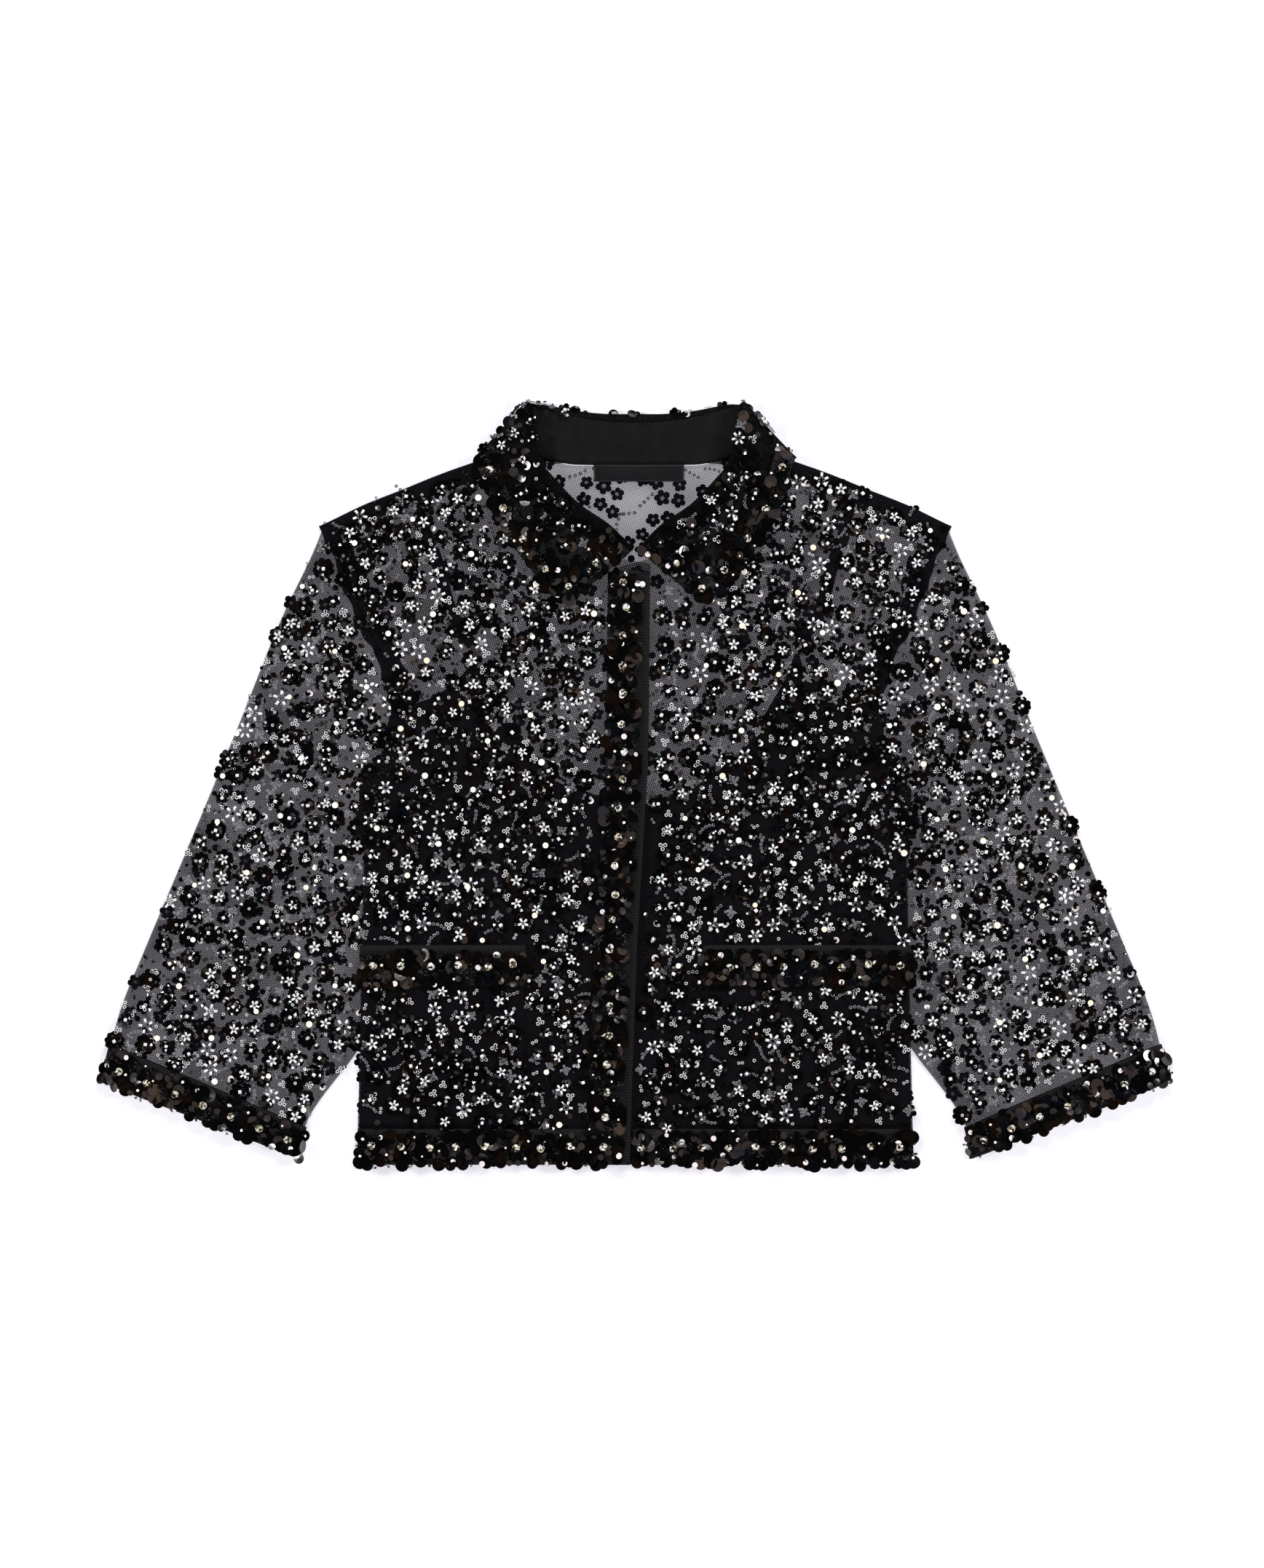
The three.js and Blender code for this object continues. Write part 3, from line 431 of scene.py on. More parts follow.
# The collar, half round: neck x, neck y, fold x, fold y, edge x, edge y, and the leaf's rise at its fold
collarBack = np.array(
    [
        (0, 528, 0, 566, 0, 531, 0),
        (24, 528, 22, 566, 29, 530.8, 0),
        (48, 528.6, 46, 568.5, 60, 530, 0),
        (69, 532, 69, 573, 92, 527, 0),
        (84, 543, 80, 573.5, 120.3, 533, 0),
    ],
    float,
)
collarFront = np.array(
    [
        (84, 543, 80, 573.5, 120.3, 533, 4.6),
        (81, 532, 77.8, 556, 114, 513, 4.8),
        (79.5, 514, 72, 531, 103, 486, 4.8),
        (73, 497, 61.5, 517, 91.5, 466.5, 4.6),
        (55, 482.5, 43, 498, 78, 448.5, 4.2),
        (32, 470.5, 20, 482, 66.5, 432.5, 3.8),
        (9, 457.5, 2.4, 464, 50, 424.3, 3.2),
    ],
    float,
)
backNeck = [tuple(row[:2]) for row in collarBack[::-1]]
frontNeck = [tuple(row[:2]) for row in collarFront]

# The sleeve: outer fold, inner fold and cuff
sleeveOuter = [(245, 460), (268, 412), (301, 330), (340, 236), (370, 165), (389, 118), (403.5, 62.5)]
sleeveInner = [(206.2, 266), (203, 250), (196, 232), (184, 200), (180, 165), (190, 116)]
sleeveInner += [(211.5, 83.6), (247.8, 33), (254, 4)]
cuffEdge = [(403.5, 62.5), (365.5, 47.4), (332.5, 35), (299.5, 22.2), (254, 4)]

# Creases in the net of the fronts and the back: centre x, centre y, turn in degrees, half length,
# half width and height
creases = {
    "front": [
        (-176, 215, 84, 70, 8, 0.9),
        (-150, 150, 97, 60, 10, 0.6),
        (-118, 226, 78, 50, 7, 0.5),
        (-92, 330, 62, 46, 8, 0.7),
        (-58, 250, 92, 74, 9, 0.5),
        (-60, 92, 85, 40, 9, 0.5),
        (-190, 60, 88, 44, 7, 0.6),
        (-160, 430, 35, 38, 7, 0.7),
        (62, 262, 86, 66, 9, 0.6),
        (100, 300, 112, 48, 8, 0.7),
        (141, 236, 95, 58, 8, 0.6),
        (178, 190, 99, 74, 9, 0.9),
        (150, 78, 94, 46, 8, 0.6),
        (40, 130, 95, 50, 8, 0.4),
        (165, 436, 140, 36, 7, 0.6),
        (110, 420, 100, 40, 7, 0.4),
    ],
    "back": [
        (-60, 440, 70, 50, 9, 0.4),
        (45, 470, 110, 44, 8, 0.4),
        (-130, 300, 85, 70, 9, 0.5),
        (20, 250, 92, 80, 10, 0.5),
        (120, 180, 80, 66, 9, 0.5),
    ],
}
# On each sleeve: share across, share down, turn in degrees, half length, half width and height
sleeveCreases = [
    (0.3, 0.82, 112, 46, 7, 1.3),
    (0.52, 0.72, 118, 60, 8, 1.0),
    (0.66, 0.86, 104, 38, 7, 1.4),
    (0.4, 0.45, 112, 52, 10, 0.7),
    (0.75, 0.6, 100, 44, 7, 0.9),
    (0.2, 0.62, 120, 40, 7, 0.8),
    (0.55, 0.93, 20, 34, 6, 0.9),
    (0.35, 0.9, 8, 28, 5, 0.8),
    (0.6, 0.3, 130, 40, 8, 0.8),
    (0.3, 0.2, 95, 36, 8, 0.6),
]


# Ramps by which a layer rises over what lies below it: where each starts and how long it is
ramps = {
    "sleeveInward": (-40, 30),  # from the sleeve's hidden fold
    "sleeveDown": (0, 24),  # from the underarm
    "hem": (-31, 26),  # below the top of the back's hem trim
    "neckUp": (-32, 20),  # above the edge of the collar's back fall
    "neckSide": (0, 22),  # inward of the collar's end
    "strap": (-34, 14),  # towards the lining's strap
    "shoulderSeam": (0, 34),
    "overlap": (-52, 24),  # towards the hidden edge of the front below
    "overlapEnd": (-46, 24),
    "puffSide": (26, 22),  # outside the side seam
    "puffUp": (0, 18),  # above the underarm
    "cuff": (0.86, 0.06),  # share of the sleeve's length
}
collarEndX = 150  # where the back panel is flat again beside the collar


# Heights of the layers, as the solids have them
def sleeveTuck(x, y):
    inward = ramp(np.abs(x) - xAt(sleeveInner, y), *ramps["sleeveInward"])
    return 2 * pitch * inward * ramp(underarmY - y, *ramps["sleeveDown"])


def collarUnderY(x):
    # the lower edge of the collar's back fall
    return collarBack[0, 5] + 2 * np.minimum(np.abs(x) / collarBack[-1, 4], 1) ** 4


def backUnderside(x, y):
    hem = pitch * ramp(hemTrimY - y, *ramps["hem"])
    neck = pitch * ramp(y - collarUnderY(x), *ramps["neckUp"])
    return sleeveTuck(x, y) + hem + neck * ramp(collarEndX - np.abs(x), *ramps["neckSide"])


def shoulderY(x):
    (tipX, tipY), (neckX, neckY) = shoulder[0], shoulder[-1]
    share = (tipX - np.abs(x)) / (tipX - neckX)
    return lerp(tipY, neckY, share) + shoulderBow * np.sin(np.pi * np.clip(share, 0, 1))


def liningUnderside(x, y):
    return backUnderside(x, y) + pitch


def overlapLift(x):
    return pitch * ramp(x, *ramps["overlap"])


def frontUnderside(x, y):
    ridge = ramp(-np.abs(np.abs(x) - xAt(strapLine, y)), *ramps["strap"])
    awayFromSeam = ramp(shoulderY(x) - y, *ramps["shoulderSeam"])
    overLining = pitch * np.maximum(awayFromSeam, ridge)
    return liningUnderside(x, y) + overLining + creaseLift(creases["front"], x, y)


def overFrontUnderside(x, y):
    return frontUnderside(x, y) + overlapLift(x)


def bodyTop(x, y):
    return frontUnderside(x, y) + overlapLift(x) * ramp(-x, *ramps["overlapEnd"]) + cloth


# Body panels: rows and columns of a half panel, and how far its net stands above the layer's underside
panels = {
    "columns": 62,
    "lowRows": 46,
    "highRows": 40,
    "shoulderShare": 0.56,
    "frontNet": 0.5,
    "backNet": 0.75,
}
# How far beads stay from each edge of the net
bare = {
    "seam": 2.2,
    "shoulder": 2,
    "hem": 31,
    "leaf": 4,
    "lap": 36,
    "underLap": 5,
    "pocketSide": 2,
    "pocketTop": 3,
}
leafTip = {"x": 50, "y": 424, "slope": 0.72}


def panelNet(side, edgeRows, neckRows):
    def inside(y):
        return side * xAt(edgeRows, y)

    share = np.linspace(0, 1, panels["columns"])
    lowY = np.linspace(0, underarmY, panels["lowRows"])[:-1]
    lowX = lerp(xAt(sideSeam, lowY)[:, None], inside(lowY)[:, None], share[None])
    low = np.stack([lowX, np.broadcast_to(lowY[:, None], lowX.shape)], -1)
    edge = [(float(inside(underarmY)), underarmY)]
    edge += [(side * x, y) for x, y in edgeRows if underarmY < y < neckRows[-1][1]]
    edge.append(neckRows[-1])
    level = stepsThrough([sideSeam[-1], edge[0]])
    top = joined(lineThrough(shoulder), stepsThrough(neckRows), panels["shoulderShare"])
    up = np.linspace(0, 1, panels["highRows"])
    high = netOf(level, top, lineThrough(armhole), lineThrough(edge), share, up)
    return np.concatenate([low, high]) * (side, 1)


def raised(flat, height):
    x, y = flat[..., 0], flat[..., 1]
    return np.dstack([x, y, height(x, y)])


def leafCovers(x, y):
    # under a collar leaf, seen from above
    edge = collarFront[:, 4:6]
    outside = np.interp(y, edge[::-1, 1], edge[::-1, 0])
    tip = leafTip["y"] - bare["leaf"] + np.maximum(0, leafTip["x"] - np.abs(x)) * leafTip["slope"]
    return (np.abs(x) < outside + bare["leaf"]) & (y > tip)


def bodyZone(x, y, topY):
    outside = xAt(sideSeam[:-1] + armhole, y) - bare["seam"]
    return (np.abs(x) <= outside) & (y < topY - bare["shoulder"]) & (y > bare["hem"])


def frontZone(name, side, x, y):
    lap = xAt(overEdge, y)
    inner = x < lap - bare["lap"] if side < 0 else x > lap + bare["underLap"]
    pocket = (side * x > pocketIn[name] - bare["pocketSide"]) & (y < pocketTopY + bare["pocketTop"])
    return bodyZone(x, y, shoulderY(x)) & inner & ~pocket & ~leafCovers(x, y)


def backHeight(x, y):
    return backUnderside(x, y) + panels["backNet"] + creaseLift(creases["back"], x, y)


backHalf = {side: panelNet(side, [(0, 0), backNeck[-1]], backNeck) for side in (-1, 1)}
backFlat = np.concatenate([backHalf[-1], backHalf[1][:, ::-1][:, 1:]], 1)
backGrid = raised(backFlat, backHeight)
x, y = backGrid[..., 0], backGrid[..., 1]
backZone = bodyZone(x, y, np.minimum(shoulderY(x), collarUnderY(x) + 12))  # a little under the collar too
addSheet("backNet", backGrid, tulle, thickness=netWall, up=False)

fronts = []
for name, side, edgeRows, height in (
    ("right", -1, overEdge, overFrontUnderside),
    ("left", 1, underEdge, frontUnderside),
):
    neckRows = [*frontNeck, (side * edgeRows[-1][0], edgeRows[-1][1])]
    grid = raised(panelNet(side, edgeRows, neckRows), lambda x, y: height(x, y) + panels["frontNet"])
    fronts.append((grid, frontZone(name, side, grid[..., 0], grid[..., 1])))
    addSheet("frontNet" + name.title(), grid, frontTulle, thickness=netWall)
print("body panels made")

# Camisole lining: its top edge from the armhole to the centre front, and the straps
liningTop = [(181.5, 337), (177, 344), (150, 355), (128, 374), (122.4, 387.8), (114, 368.5), (100, 344)]
liningTop += [(84, 316), (62, 297), (40, 283), (19, 275.5)]
lining = {
    "columns": 52,
    "lowRows": 36,
    "highRows": 26,
    "hemY": 6,
    "inset": 1,  # of its side seam inside the body's
    "seamTopY": 262,
    "centreTopY": 274,
    "nearArmhole": (186, 311),
    "above": 0.6,
    "thickness": 0.3,
}
strap = {"width": 9, "lean": 0.35, "rows": 30, "columns": 5}


def liningNet(side, centre):
    def outside(y):
        return xAt(sideSeam, y) - lining["inset"]

    seamTop, centreTop = lining["seamTopY"], (side * centre, lining["centreTopY"])
    share = np.linspace(0, 1, lining["columns"])
    lowY = np.linspace(lining["hemY"], seamTop, lining["lowRows"])[:-1]
    lowX = lerp(outside(lowY)[:, None], side * centre, share[None])
    low = np.stack([lowX, np.broadcast_to(lowY[:, None], lowX.shape)], -1)
    corner = (float(outside(seamTop)), seamTop)
    outer = [corner, (float(outside(underarmY)), underarmY), lining["nearArmhole"], liningTop[0]]
    centreEdge = stepsThrough([(side * centre, seamTop), centreTop])
    level = stepsThrough([corner, (side * centre, seamTop)])
    up = np.linspace(0, 1, lining["highRows"])
    high = netOf(level, lineThrough([*liningTop, centreTop]), lineThrough(outer), centreEdge, share, up)
    return np.concatenate([low, high]) * (side, 1)


def liningHeight(x, y):
    return liningUnderside(x, y) + lining["above"]


for name, side, centre in (("Right", -1, -21), ("Left", 1, -9)):
    grid = raised(liningNet(side, centre), liningHeight)
    addSheet("lining" + name, grid, liningCrepe, thickness=lining["thickness"])
    middle = lineThrough(strapLine)(np.linspace(0, 1, strap["rows"]))
    across = np.linspace(-0.5, 0.5, strap["columns"]) * strap["width"]
    flat = np.stack([side * (middle[:, None, 0] + across), middle[:, None, 1] - across * strap["lean"]], -1)
    addSheet("strap" + name, raised(flat, liningHeight), liningCrepe, thickness=lining["thickness"])

# Seam tapes inside the armholes and along the shoulders, seen through the net. The armholes' edges are
# uneven, with two waves: height and turns along the tape.
tape = {
    "armhole": (-5.5, 12),  # inward of the seam, from and to
    "shoulder": (0.3, 13.5),
    "rows": 90,
    "columns": 7,
    "above": 0.25,
    "thickness": 0.2,
}
gatherWaves = ((1.5, 41, 0), (1.1, 87, 2))
tapeGrids, seamGrids = [], []
for side in (-1, 1):
    for rows, reach, inward in (
        ([(206, 246), (204.5, 266), *armhole], tape["armhole"], (-1.0, 0.1)),
        (shoulder, tape["shoulder"], (-0.3, -1.0)),
    ):
        along = np.linspace(0, 1, tape["rows"])
        line = lineThrough(rows)(along)
        tangent = np.gradient(line, axis=0)
        normal = np.stack([-tangent[:, 1], tangent[:, 0]], -1)
        normal /= np.linalg.norm(normal, axis=1)[:, None]
        normal *= np.sign(normal @ np.array(inward))[:, None]
        gathers = sum(height * np.sin(along * turns + start) for height, turns, start in gatherWaves)
        gathers = gathers * (rows is not shoulder)
        grown = gathers[:, None] * np.linspace(-0.6, 1, tape["columns"])[None]
        across = np.linspace(*reach, tape["columns"])[None] + grown
        flat = (line[:, None] + normal[:, None] * across[..., None]) * (side, 1)
        tapeGrids.append(raised(flat, lambda x, y: frontUnderside(x, y) + tape["above"]))
        seamGrids.append(raised(flat, lambda x, y: frontUnderside(x, y) + cloth))
for index, grid in enumerate(tapeGrids):
    addSheet(f"seamTape{index}", grid, seamTape, thickness=tape["thickness"])
print("lining and seam tapes made")


# Sleeves: flattened tubes, with a layer that lies on the surface and one above it
sleeve = {
    "columns": 40,
    "rows": 92,
    "openFrom": 0.33,  # share of the armhole below which the sleeve goes under the body
    "foldInset": 1.4,  # from a fold to where the two layers lie flat
    "netInset": 0.3,  # of the net's middle inside the solid's faces
    "puff": 0.5,
    "archWidth": 1 / 6,  # share across in which the upper layer rises from a fold
    "cutTurns": (9, -14),  # degrees by which the net's pattern is turned on the two layers
    "bareFold": 2,
    "bareDown": (0.014, 0.925),
    "bareBody": 3,
}
bodyArmhole = lineThrough(armhole)


def sleevePlace(across, down):
    def top(share):
        return bodyArmhole(1 - np.asarray(share) * (1 - sleeve["openFrom"])) + (0.8, -0.2)

    outer = lineThrough([tuple(top(0.0)), *sleeveOuter])
    alongArmhole = [tuple(bodyArmhole(share) + (2.6, 0)) for share in (0.15, 0.0)]
    inner = lineThrough([tuple(top(1.0)), *alongArmhole, *sleeveInner])
    return netOf(top, lineThrough(cuffEdge), outer, inner, across, down)


def cuffLift(down):
    return pitch * ramp(down, *ramps["cuff"])


def sleevePuff(flat, across, down):
    x, y = flat[..., 0], flat[..., 1]
    beside = ramp(x - xAt(sideSeam, y), *ramps["puffSide"])
    free = np.maximum(beside, ramp(y - underarmY, *ramps["puffUp"]))
    arch = smooth(np.minimum(across, 1 - across)[None, :] / sleeve["archWidth"]) * np.ones_like(down)[:, None]
    table = []
    for shareAcross, shareDown, *crease in sleeveCreases:
        centre = sleevePlace(np.array([shareAcross]), np.array([shareDown]))[0, 0]
        table.append((*centre, *crease))
    puff = sleeve["puff"] * np.sin(np.pi * down)[:, None]
    return free * arch * (pitch + puff + creaseLift(table, x, y))


def sleeveLayersAt(side, down, columns, grow=0.0):
    # the layer below and the one above it, both from the outer fold to the inner one
    across = np.linspace(0, 1, columns)
    flat = sleevePlace(across, down)
    width = np.linalg.norm(flat[:, -1] - flat[:, 0], axis=1)[:, None]
    low = cuffLift(down)[:, None] - grow + sleeve["netInset"]
    high = cuffLift(down)[:, None] + 2 * cloth + gap + grow - sleeve["netInset"]
    fromFold = np.minimum(across, 1 - across)[None, :] * width
    rounded = np.sqrt(1 - (1 - np.clip(fromFold / sleeve["foldInset"], 0, 1)) ** 2)
    middle = (low + high) / 2
    outward = np.where(across < 0.5, 1, -1)[None] * (fromFold < 8) * (1 - fromFold / 8)
    x = side * (flat[..., 0] + grow * outward)
    below = np.dstack([x, flat[..., 1], middle + (low - middle) * rounded])
    puff = sleevePuff(flat, across, down)
    above = np.dstack([x, flat[..., 1], middle + (high - middle) * rounded + puff])
    return below, above


def turnedCut(grid, degrees):
    # the net's pattern follows the place, turned a little from layer to layer
    c, s = math.cos(math.radians(degrees)), math.sin(math.radians(degrees))
    return grid[..., :2] @ np.array([[c, s], [-s, c]])


def tubeOf(below, above):
    return np.concatenate([below, above[:, ::-1][:, 1:-1]], 1)


lowerLayers, upperLayers = [], []
for name, side in (("Right", -1), ("Left", 1)):
    down = np.linspace(0, 1, sleeve["rows"])
    below, above = sleeveLayersAt(side, down, sleeve["columns"])
    tube = tubeOf(below, above)
    uv = tubeOf(*(turnedCut(layer, turn) for layer, turn in zip((below, above), sleeve["cutTurns"])))
    if side > 0:
        tube, uv = tube[:, ::-1], uv[:, ::-1]
    addSheet("sleeve" + name, tube, tulle, uv=uv, thickness=netWall, wrap=True)
    share = np.linspace(0, 1, sleeve["columns"])
    x, y = np.abs(above[..., 0]), above[..., 1]
    width = np.linalg.norm(above[:, -1] - above[:, 0], axis=1)[:, None]
    fromFold = np.minimum(share, 1 - share)[None] * width
    start, end = sleeve["bareDown"]
    clear = (fromFold > sleeve["bareFold"]) & (down[:, None] < end) & (down[:, None] > start)
    besideBody = (y > underarmY) | (x > xAt(sideSeam, y) + sleeve["bareBody"])
    lowerLayers.append((below, clear))
    upperLayers.append((above, clear & besideBody))
print("sleeves made")

# Patch pockets, with the same net and beads as the fronts, and bare under their trims
pockets = {
    "bottom": 30,
    "trimHeight": 31,
    "rows": 40,
    "columns": 44,
    "bareInner": 2.5,
    "bareSeam": 3,
    "bareBelow": 32,
}
onPockets = []
for name, side, height in (("right", -1, overFrontUnderside), ("left", 1, frontUnderside)):
    rowsY = np.linspace(pockets["bottom"], pocketTopY - 4, pockets["rows"])
    share = np.linspace(0, 1, pockets["columns"])
    seamX = xAt(sideSeam, rowsY)[:, None]
    pocketX = lerp(seamX - 1, pocketIn[name], share[None])
    flat = np.stack([side * pocketX, np.broadcast_to(rowsY[:, None], pocketX.shape)], -1)
    grid = raised(flat, lambda x, y: height(x, y) + pitch + panels["frontNet"])
    inside = (pocketX < seamX - pockets["bareSeam"]) & (pocketX > pocketIn[name] + pockets["bareInner"])
    belowTrim = flat[..., 1] < pocketTopY - pockets["trimHeight"] - 3
    onPockets.append((grid, inside & belowTrim & (flat[..., 1] > pockets["bareBelow"])))
    addSheet("pocket" + name.title(), grid, tulle, thickness=netWall)
print("pockets made")


# The collar: a fall of doubled net from its edge to the fold, then a plain inner band
collar = {
    "rollRadius": 1.6,
    "turnInBack": 5,  # of net past the fold, to the inner band
    "turnInFront": 1.2,
    "leafGap": 0.9,
    "climb": 0.7,  # of the back fall from its edge to the fold
    "neckClear": 1.6,
    "fallColumns": 26,
    "rollColumns": 9,
    "bandColumns": 14,
    "around": (26, 22, 56),  # sections under the back, over the shoulder and on the front
    "trimShare": 20 / 62,  # of the fall's depth
    "frontTrimFrom": 3 - 1 / 6,
}
half = cloth / 2
bendOut = np.array([0.75, 0.66])  # from the neck, square to the bent fall
bandBendOut = np.array([0.99, 0.13])  # square to the bent inner band


def rowAt(rows, share):
    # a smooth value of each column at a share of the rows
    last = len(rows) - 1
    at = min(max(share, 0), 1) * last
    i = min(int(at), last - 1)
    t = at - i
    before = rows[i - 1] if i else 2 * rows[0] - rows[1]
    after = rows[i + 2] if i + 2 <= last else 2 * rows[-1] - rows[-2]
    a, b = rows[i], rows[i + 1]
    out, into = (b - before) / 2, (after - a) / 2
    return a + t * out + t**2 * (3 * (b - a) - 2 * out - into) + t**3 * (2 * (a - b) + out + into)


def fallLine(row, share):
    return lerp(row[4:6], row[2:4], np.atleast_1d(share)[:, None])


def frontHeight(row, share):
    place = fallLine(row, share)
    lift = row[6] * smooth(share) * share
    return bodyTop(place[:, 0], place[:, 1]) + collar["leafGap"] + half + lift


def backHeightOf(share):
    return half + collar["climb"] * share * share


def fallMiddle(around, share):
    # around: 0 to 1 under the back, 1 to 2 over the shoulder, 2 to 3 on the front
    share = np.atleast_1d(np.asarray(share, float))
    if around <= 1:
        place = fallLine(rowAt(collarBack, around), share)
        return np.column_stack([place, backHeightOf(share)])
    if around >= 2:
        row = rowAt(collarFront, around - 2)
        return np.column_stack([fallLine(row, share), frontHeight(row, share)])
    angle = math.pi * (1.5 - around)
    below, above = backHeightOf(share), frontHeight(collarFront[0], share)
    radius = (above - below) / 2
    place = fallLine(collarFront[0], share) + bendOut * (radius * math.cos(angle))[:, None]
    return np.column_stack([place, (above + below) / 2 - radius * math.sin(angle)])


def turnDirection(around):
    angle = math.pi * (1.5 - min(max(around, 1), 2))
    inward = -math.cos(angle) * bendOut
    direction = np.array([*inward, math.sin(angle)])
    return direction / np.linalg.norm(direction)


def fallSection(around):
    flat = fallMiddle(around, np.linspace(0, 1, collar["fallColumns"]))
    ahead = flat[-1] - flat[0]
    ahead /= np.linalg.norm(ahead)
    turn = turnDirection(around)
    radius = collar["rollRadius"]
    roll = [
        flat[-1] + ahead * radius * math.sin(angle) + turn * radius * (1 - math.cos(angle))
        for angle in np.linspace(0, math.pi, collar["rollColumns"])[1:]
    ]
    turnIn = lerp(collar["turnInBack"], collar["turnInFront"], smooth(around))
    ends = [roll[-1] - ahead * turnIn * share for share in (0.5, 1)]
    return np.vstack([flat, roll, ends]), ahead


def neckMiddle(around):
    angle = math.pi * (1.5 - min(max(around, 1), 2))
    if around < 1.5:
        neck = stepsThrough(backNeck[::-1])(min(around, 1))
    else:
        neck = stepsThrough(frontNeck)(max(around - 2, 0))
    below = backUnderside(*neck) + half
    above = bodyTop(*neck) - half
    radius = (above - below) / 2
    bent = radius * math.cos(angle) if 1 < around < 2 else 0
    return np.array([*(neck + bandBendOut * bent), (above + below) / 2 - radius * math.sin(angle)])


def bandSection(around):
    points, ahead = fallSection(around)
    start = points[-1] + ahead * 0.6
    level = np.array([ahead[0], ahead[1], 0]) / np.linalg.norm(ahead[:2])
    end = neckMiddle(around) + level * collar["neckClear"] * 0.4
    return lerp(start, end, np.linspace(0, 1, collar["bandColumns"])[:, None])


def wholeCollar(section):
    back, bend, front = collar["around"]
    around = [np.linspace(0, 1, back)[:-1], np.linspace(1, 2, bend)[:-1], np.linspace(2, 3, front)]
    around = np.concatenate(around)
    leftHalf = np.array([section(at) for at in around])
    rightHalf = leftHalf[1:][::-1] * (-1, 1, 1)
    return np.concatenate([rightHalf, leftHalf]), np.concatenate([around[1:][::-1], around])


def lengthAlong(line):
    return np.concatenate([[0], np.cumsum(np.linalg.norm(np.diff(line, axis=0), axis=1))])


fallGrid, fallAround = wholeCollar(lambda at: fallSection(at)[0])
bandGrid, _ = wholeCollar(bandSection)
girth = lengthAlong(fallGrid[:, 0])
fallUv = np.dstack(np.meshgrid(lengthAlong(fallGrid[20]), girth))  # across, as on one leaf
bandUv = np.dstack(np.meshgrid(np.linspace(0, 40, collar["bandColumns"]), girth))
addSheet("collarFall", fallGrid, doubledTulle, uv=fallUv, thickness=netWall)
addSheet("collarBand", bandGrid, bandCloth, uv=bandUv, thickness=0.2)

# Where the collar has beads: on the leaves inside their trims, over the shoulders and along the fold
columns = fallGrid.shape[1]
turnedIn = np.full(columns - collar["fallColumns"], 1.02)
upFall = np.concatenate([np.linspace(0, 1, collar["fallColumns"]), turnedIn])[None]
around = fallAround[:, None]
insideTrim = (upFall > collar["trimShare"] + 0.08) & (around < collar["frontTrimFrom"] - 0.04)
leafZone = insideTrim & (upFall < 0.97) & (around > 1.9)
bendZone = (around > 1.2) & (around <= 2.02) & (upFall > 0.04)
foldZone = (around <= 1.3) & (upFall > 0.96)
outside = np.arange(columns)[None] < collar["fallColumns"] + collar["rollColumns"] - 1
fallZone = (leafZone | bendZone | foldZone) & outside

# The neck label is blank: a folded strip of satin sewn at its two ends
label = {"x": (-31.5, 37), "y": (516.2, 529.0), "columns": 40, "rows": 12, "bulge": 0.5, "thickness": 0.5}
labelX = np.linspace(*label["x"], label["columns"])
labelY = np.linspace(*label["y"], label["rows"])
flat = np.dstack(np.meshgrid(labelX, labelY))
grid = raised(flat, lambda x, y: backUnderside(x, y) + pitch + cloth)
across, up = (np.sin(np.pi * np.linspace(0, 1, label[key])) for key in ("columns", "rows"))
grid[..., 2] += across[None] * up[:, None] * label["bulge"]
addSheet("neckLabel", grid, labelSatin, thickness=label["thickness"])
print("collar and label made")

# Trims: a grosgrain ribbon on what carries it, by distance along and share across
trims = {
    "ribbon": 0.5,
    "above": 1.0,  # of the ribbon's upper face over the layer it lies on
    "stepMm": 3.0,
    "frontWidth": 32,
    "frontLength": 448,
    "frontGap": 1.4,  # from the front trim to the ends of the hem trims
    "pocketOverhang": 1.5,
    "collarLength": (132, 60),  # along a leaf's outer edge and its front edge
    "collarLift": 1.3,
    "jitterAlong": 1.8,  # of the stones, in mm
    "jitterAcross": 0.05,  # and as a share of the ribbon's width
}
# Each trim: its first stone, the stones' pitch and share across, the sequins' shares across and its rows
stoneRows = {
    "hem": (12, 21.4, 0.5, (-0.02, 0.84), 6),
    "pocket": (10, 21.4, 0.5, (0.02, 0.78), 6),
    "collar": (14, 30, 0.5, (0.05, 0.98), 6),
    "front": (7, 21.4, 0.4, (0.02, 0.74), 8),
}


def frontPlaced(side, height):
    def place(x, y):
        x, y = np.broadcast_arrays(side * x, y)
        return np.stack([x, y, height(x, y) + cloth + trims["above"]], -1)

    return place


def hemPlace(side, height):
    lap = overEdge[0][0]
    end = lap - trims["frontWidth"] - trims["frontGap"] if side < 0 else lap + trims["frontGap"]
    length = sideSeam[0][0] - side * end

    def place(distance, share):
        y = hemTrimY * share
        return frontPlaced(side, height)(lerp(xAt(sideSeam, y), side * end, distance / length), y)

    return place, length


def pocketPlace(side, height, inner):
    length = float(xAt(sideSeam, pocketTopY)) - inner + 2 * trims["pocketOverhang"]

    def place(distance, share):
        y = pocketTopY - pockets["trimHeight"] * (1 - share)
        return frontPlaced(side, height)(xAt(sideSeam, y) + trims["pocketOverhang"] - distance, y)

    return place, length


def frontEdgePlace(distance, share):
    y = trims["frontLength"] - distance
    x = xAt(overEdge, y) - trims["frontWidth"] * (1 - share)
    return frontPlaced(1, overFrontUnderside)(x, y)


def leafPoint(side, around, share, lift):
    step = 0.01
    point = fallMiddle(around, share)[0]
    along = fallMiddle(min(around + step, 3), share)[0] - fallMiddle(around - step, share)[0]
    across = fallMiddle(around, min(share + step, 1))[0] - fallMiddle(around, max(share - step, 0))[0]
    outward = np.cross(along, across)
    outward /= np.linalg.norm(outward)
    outward *= 1 if outward[2] > 0 else -1
    return (point + outward * (half + lift)) * (side, 1, 1)


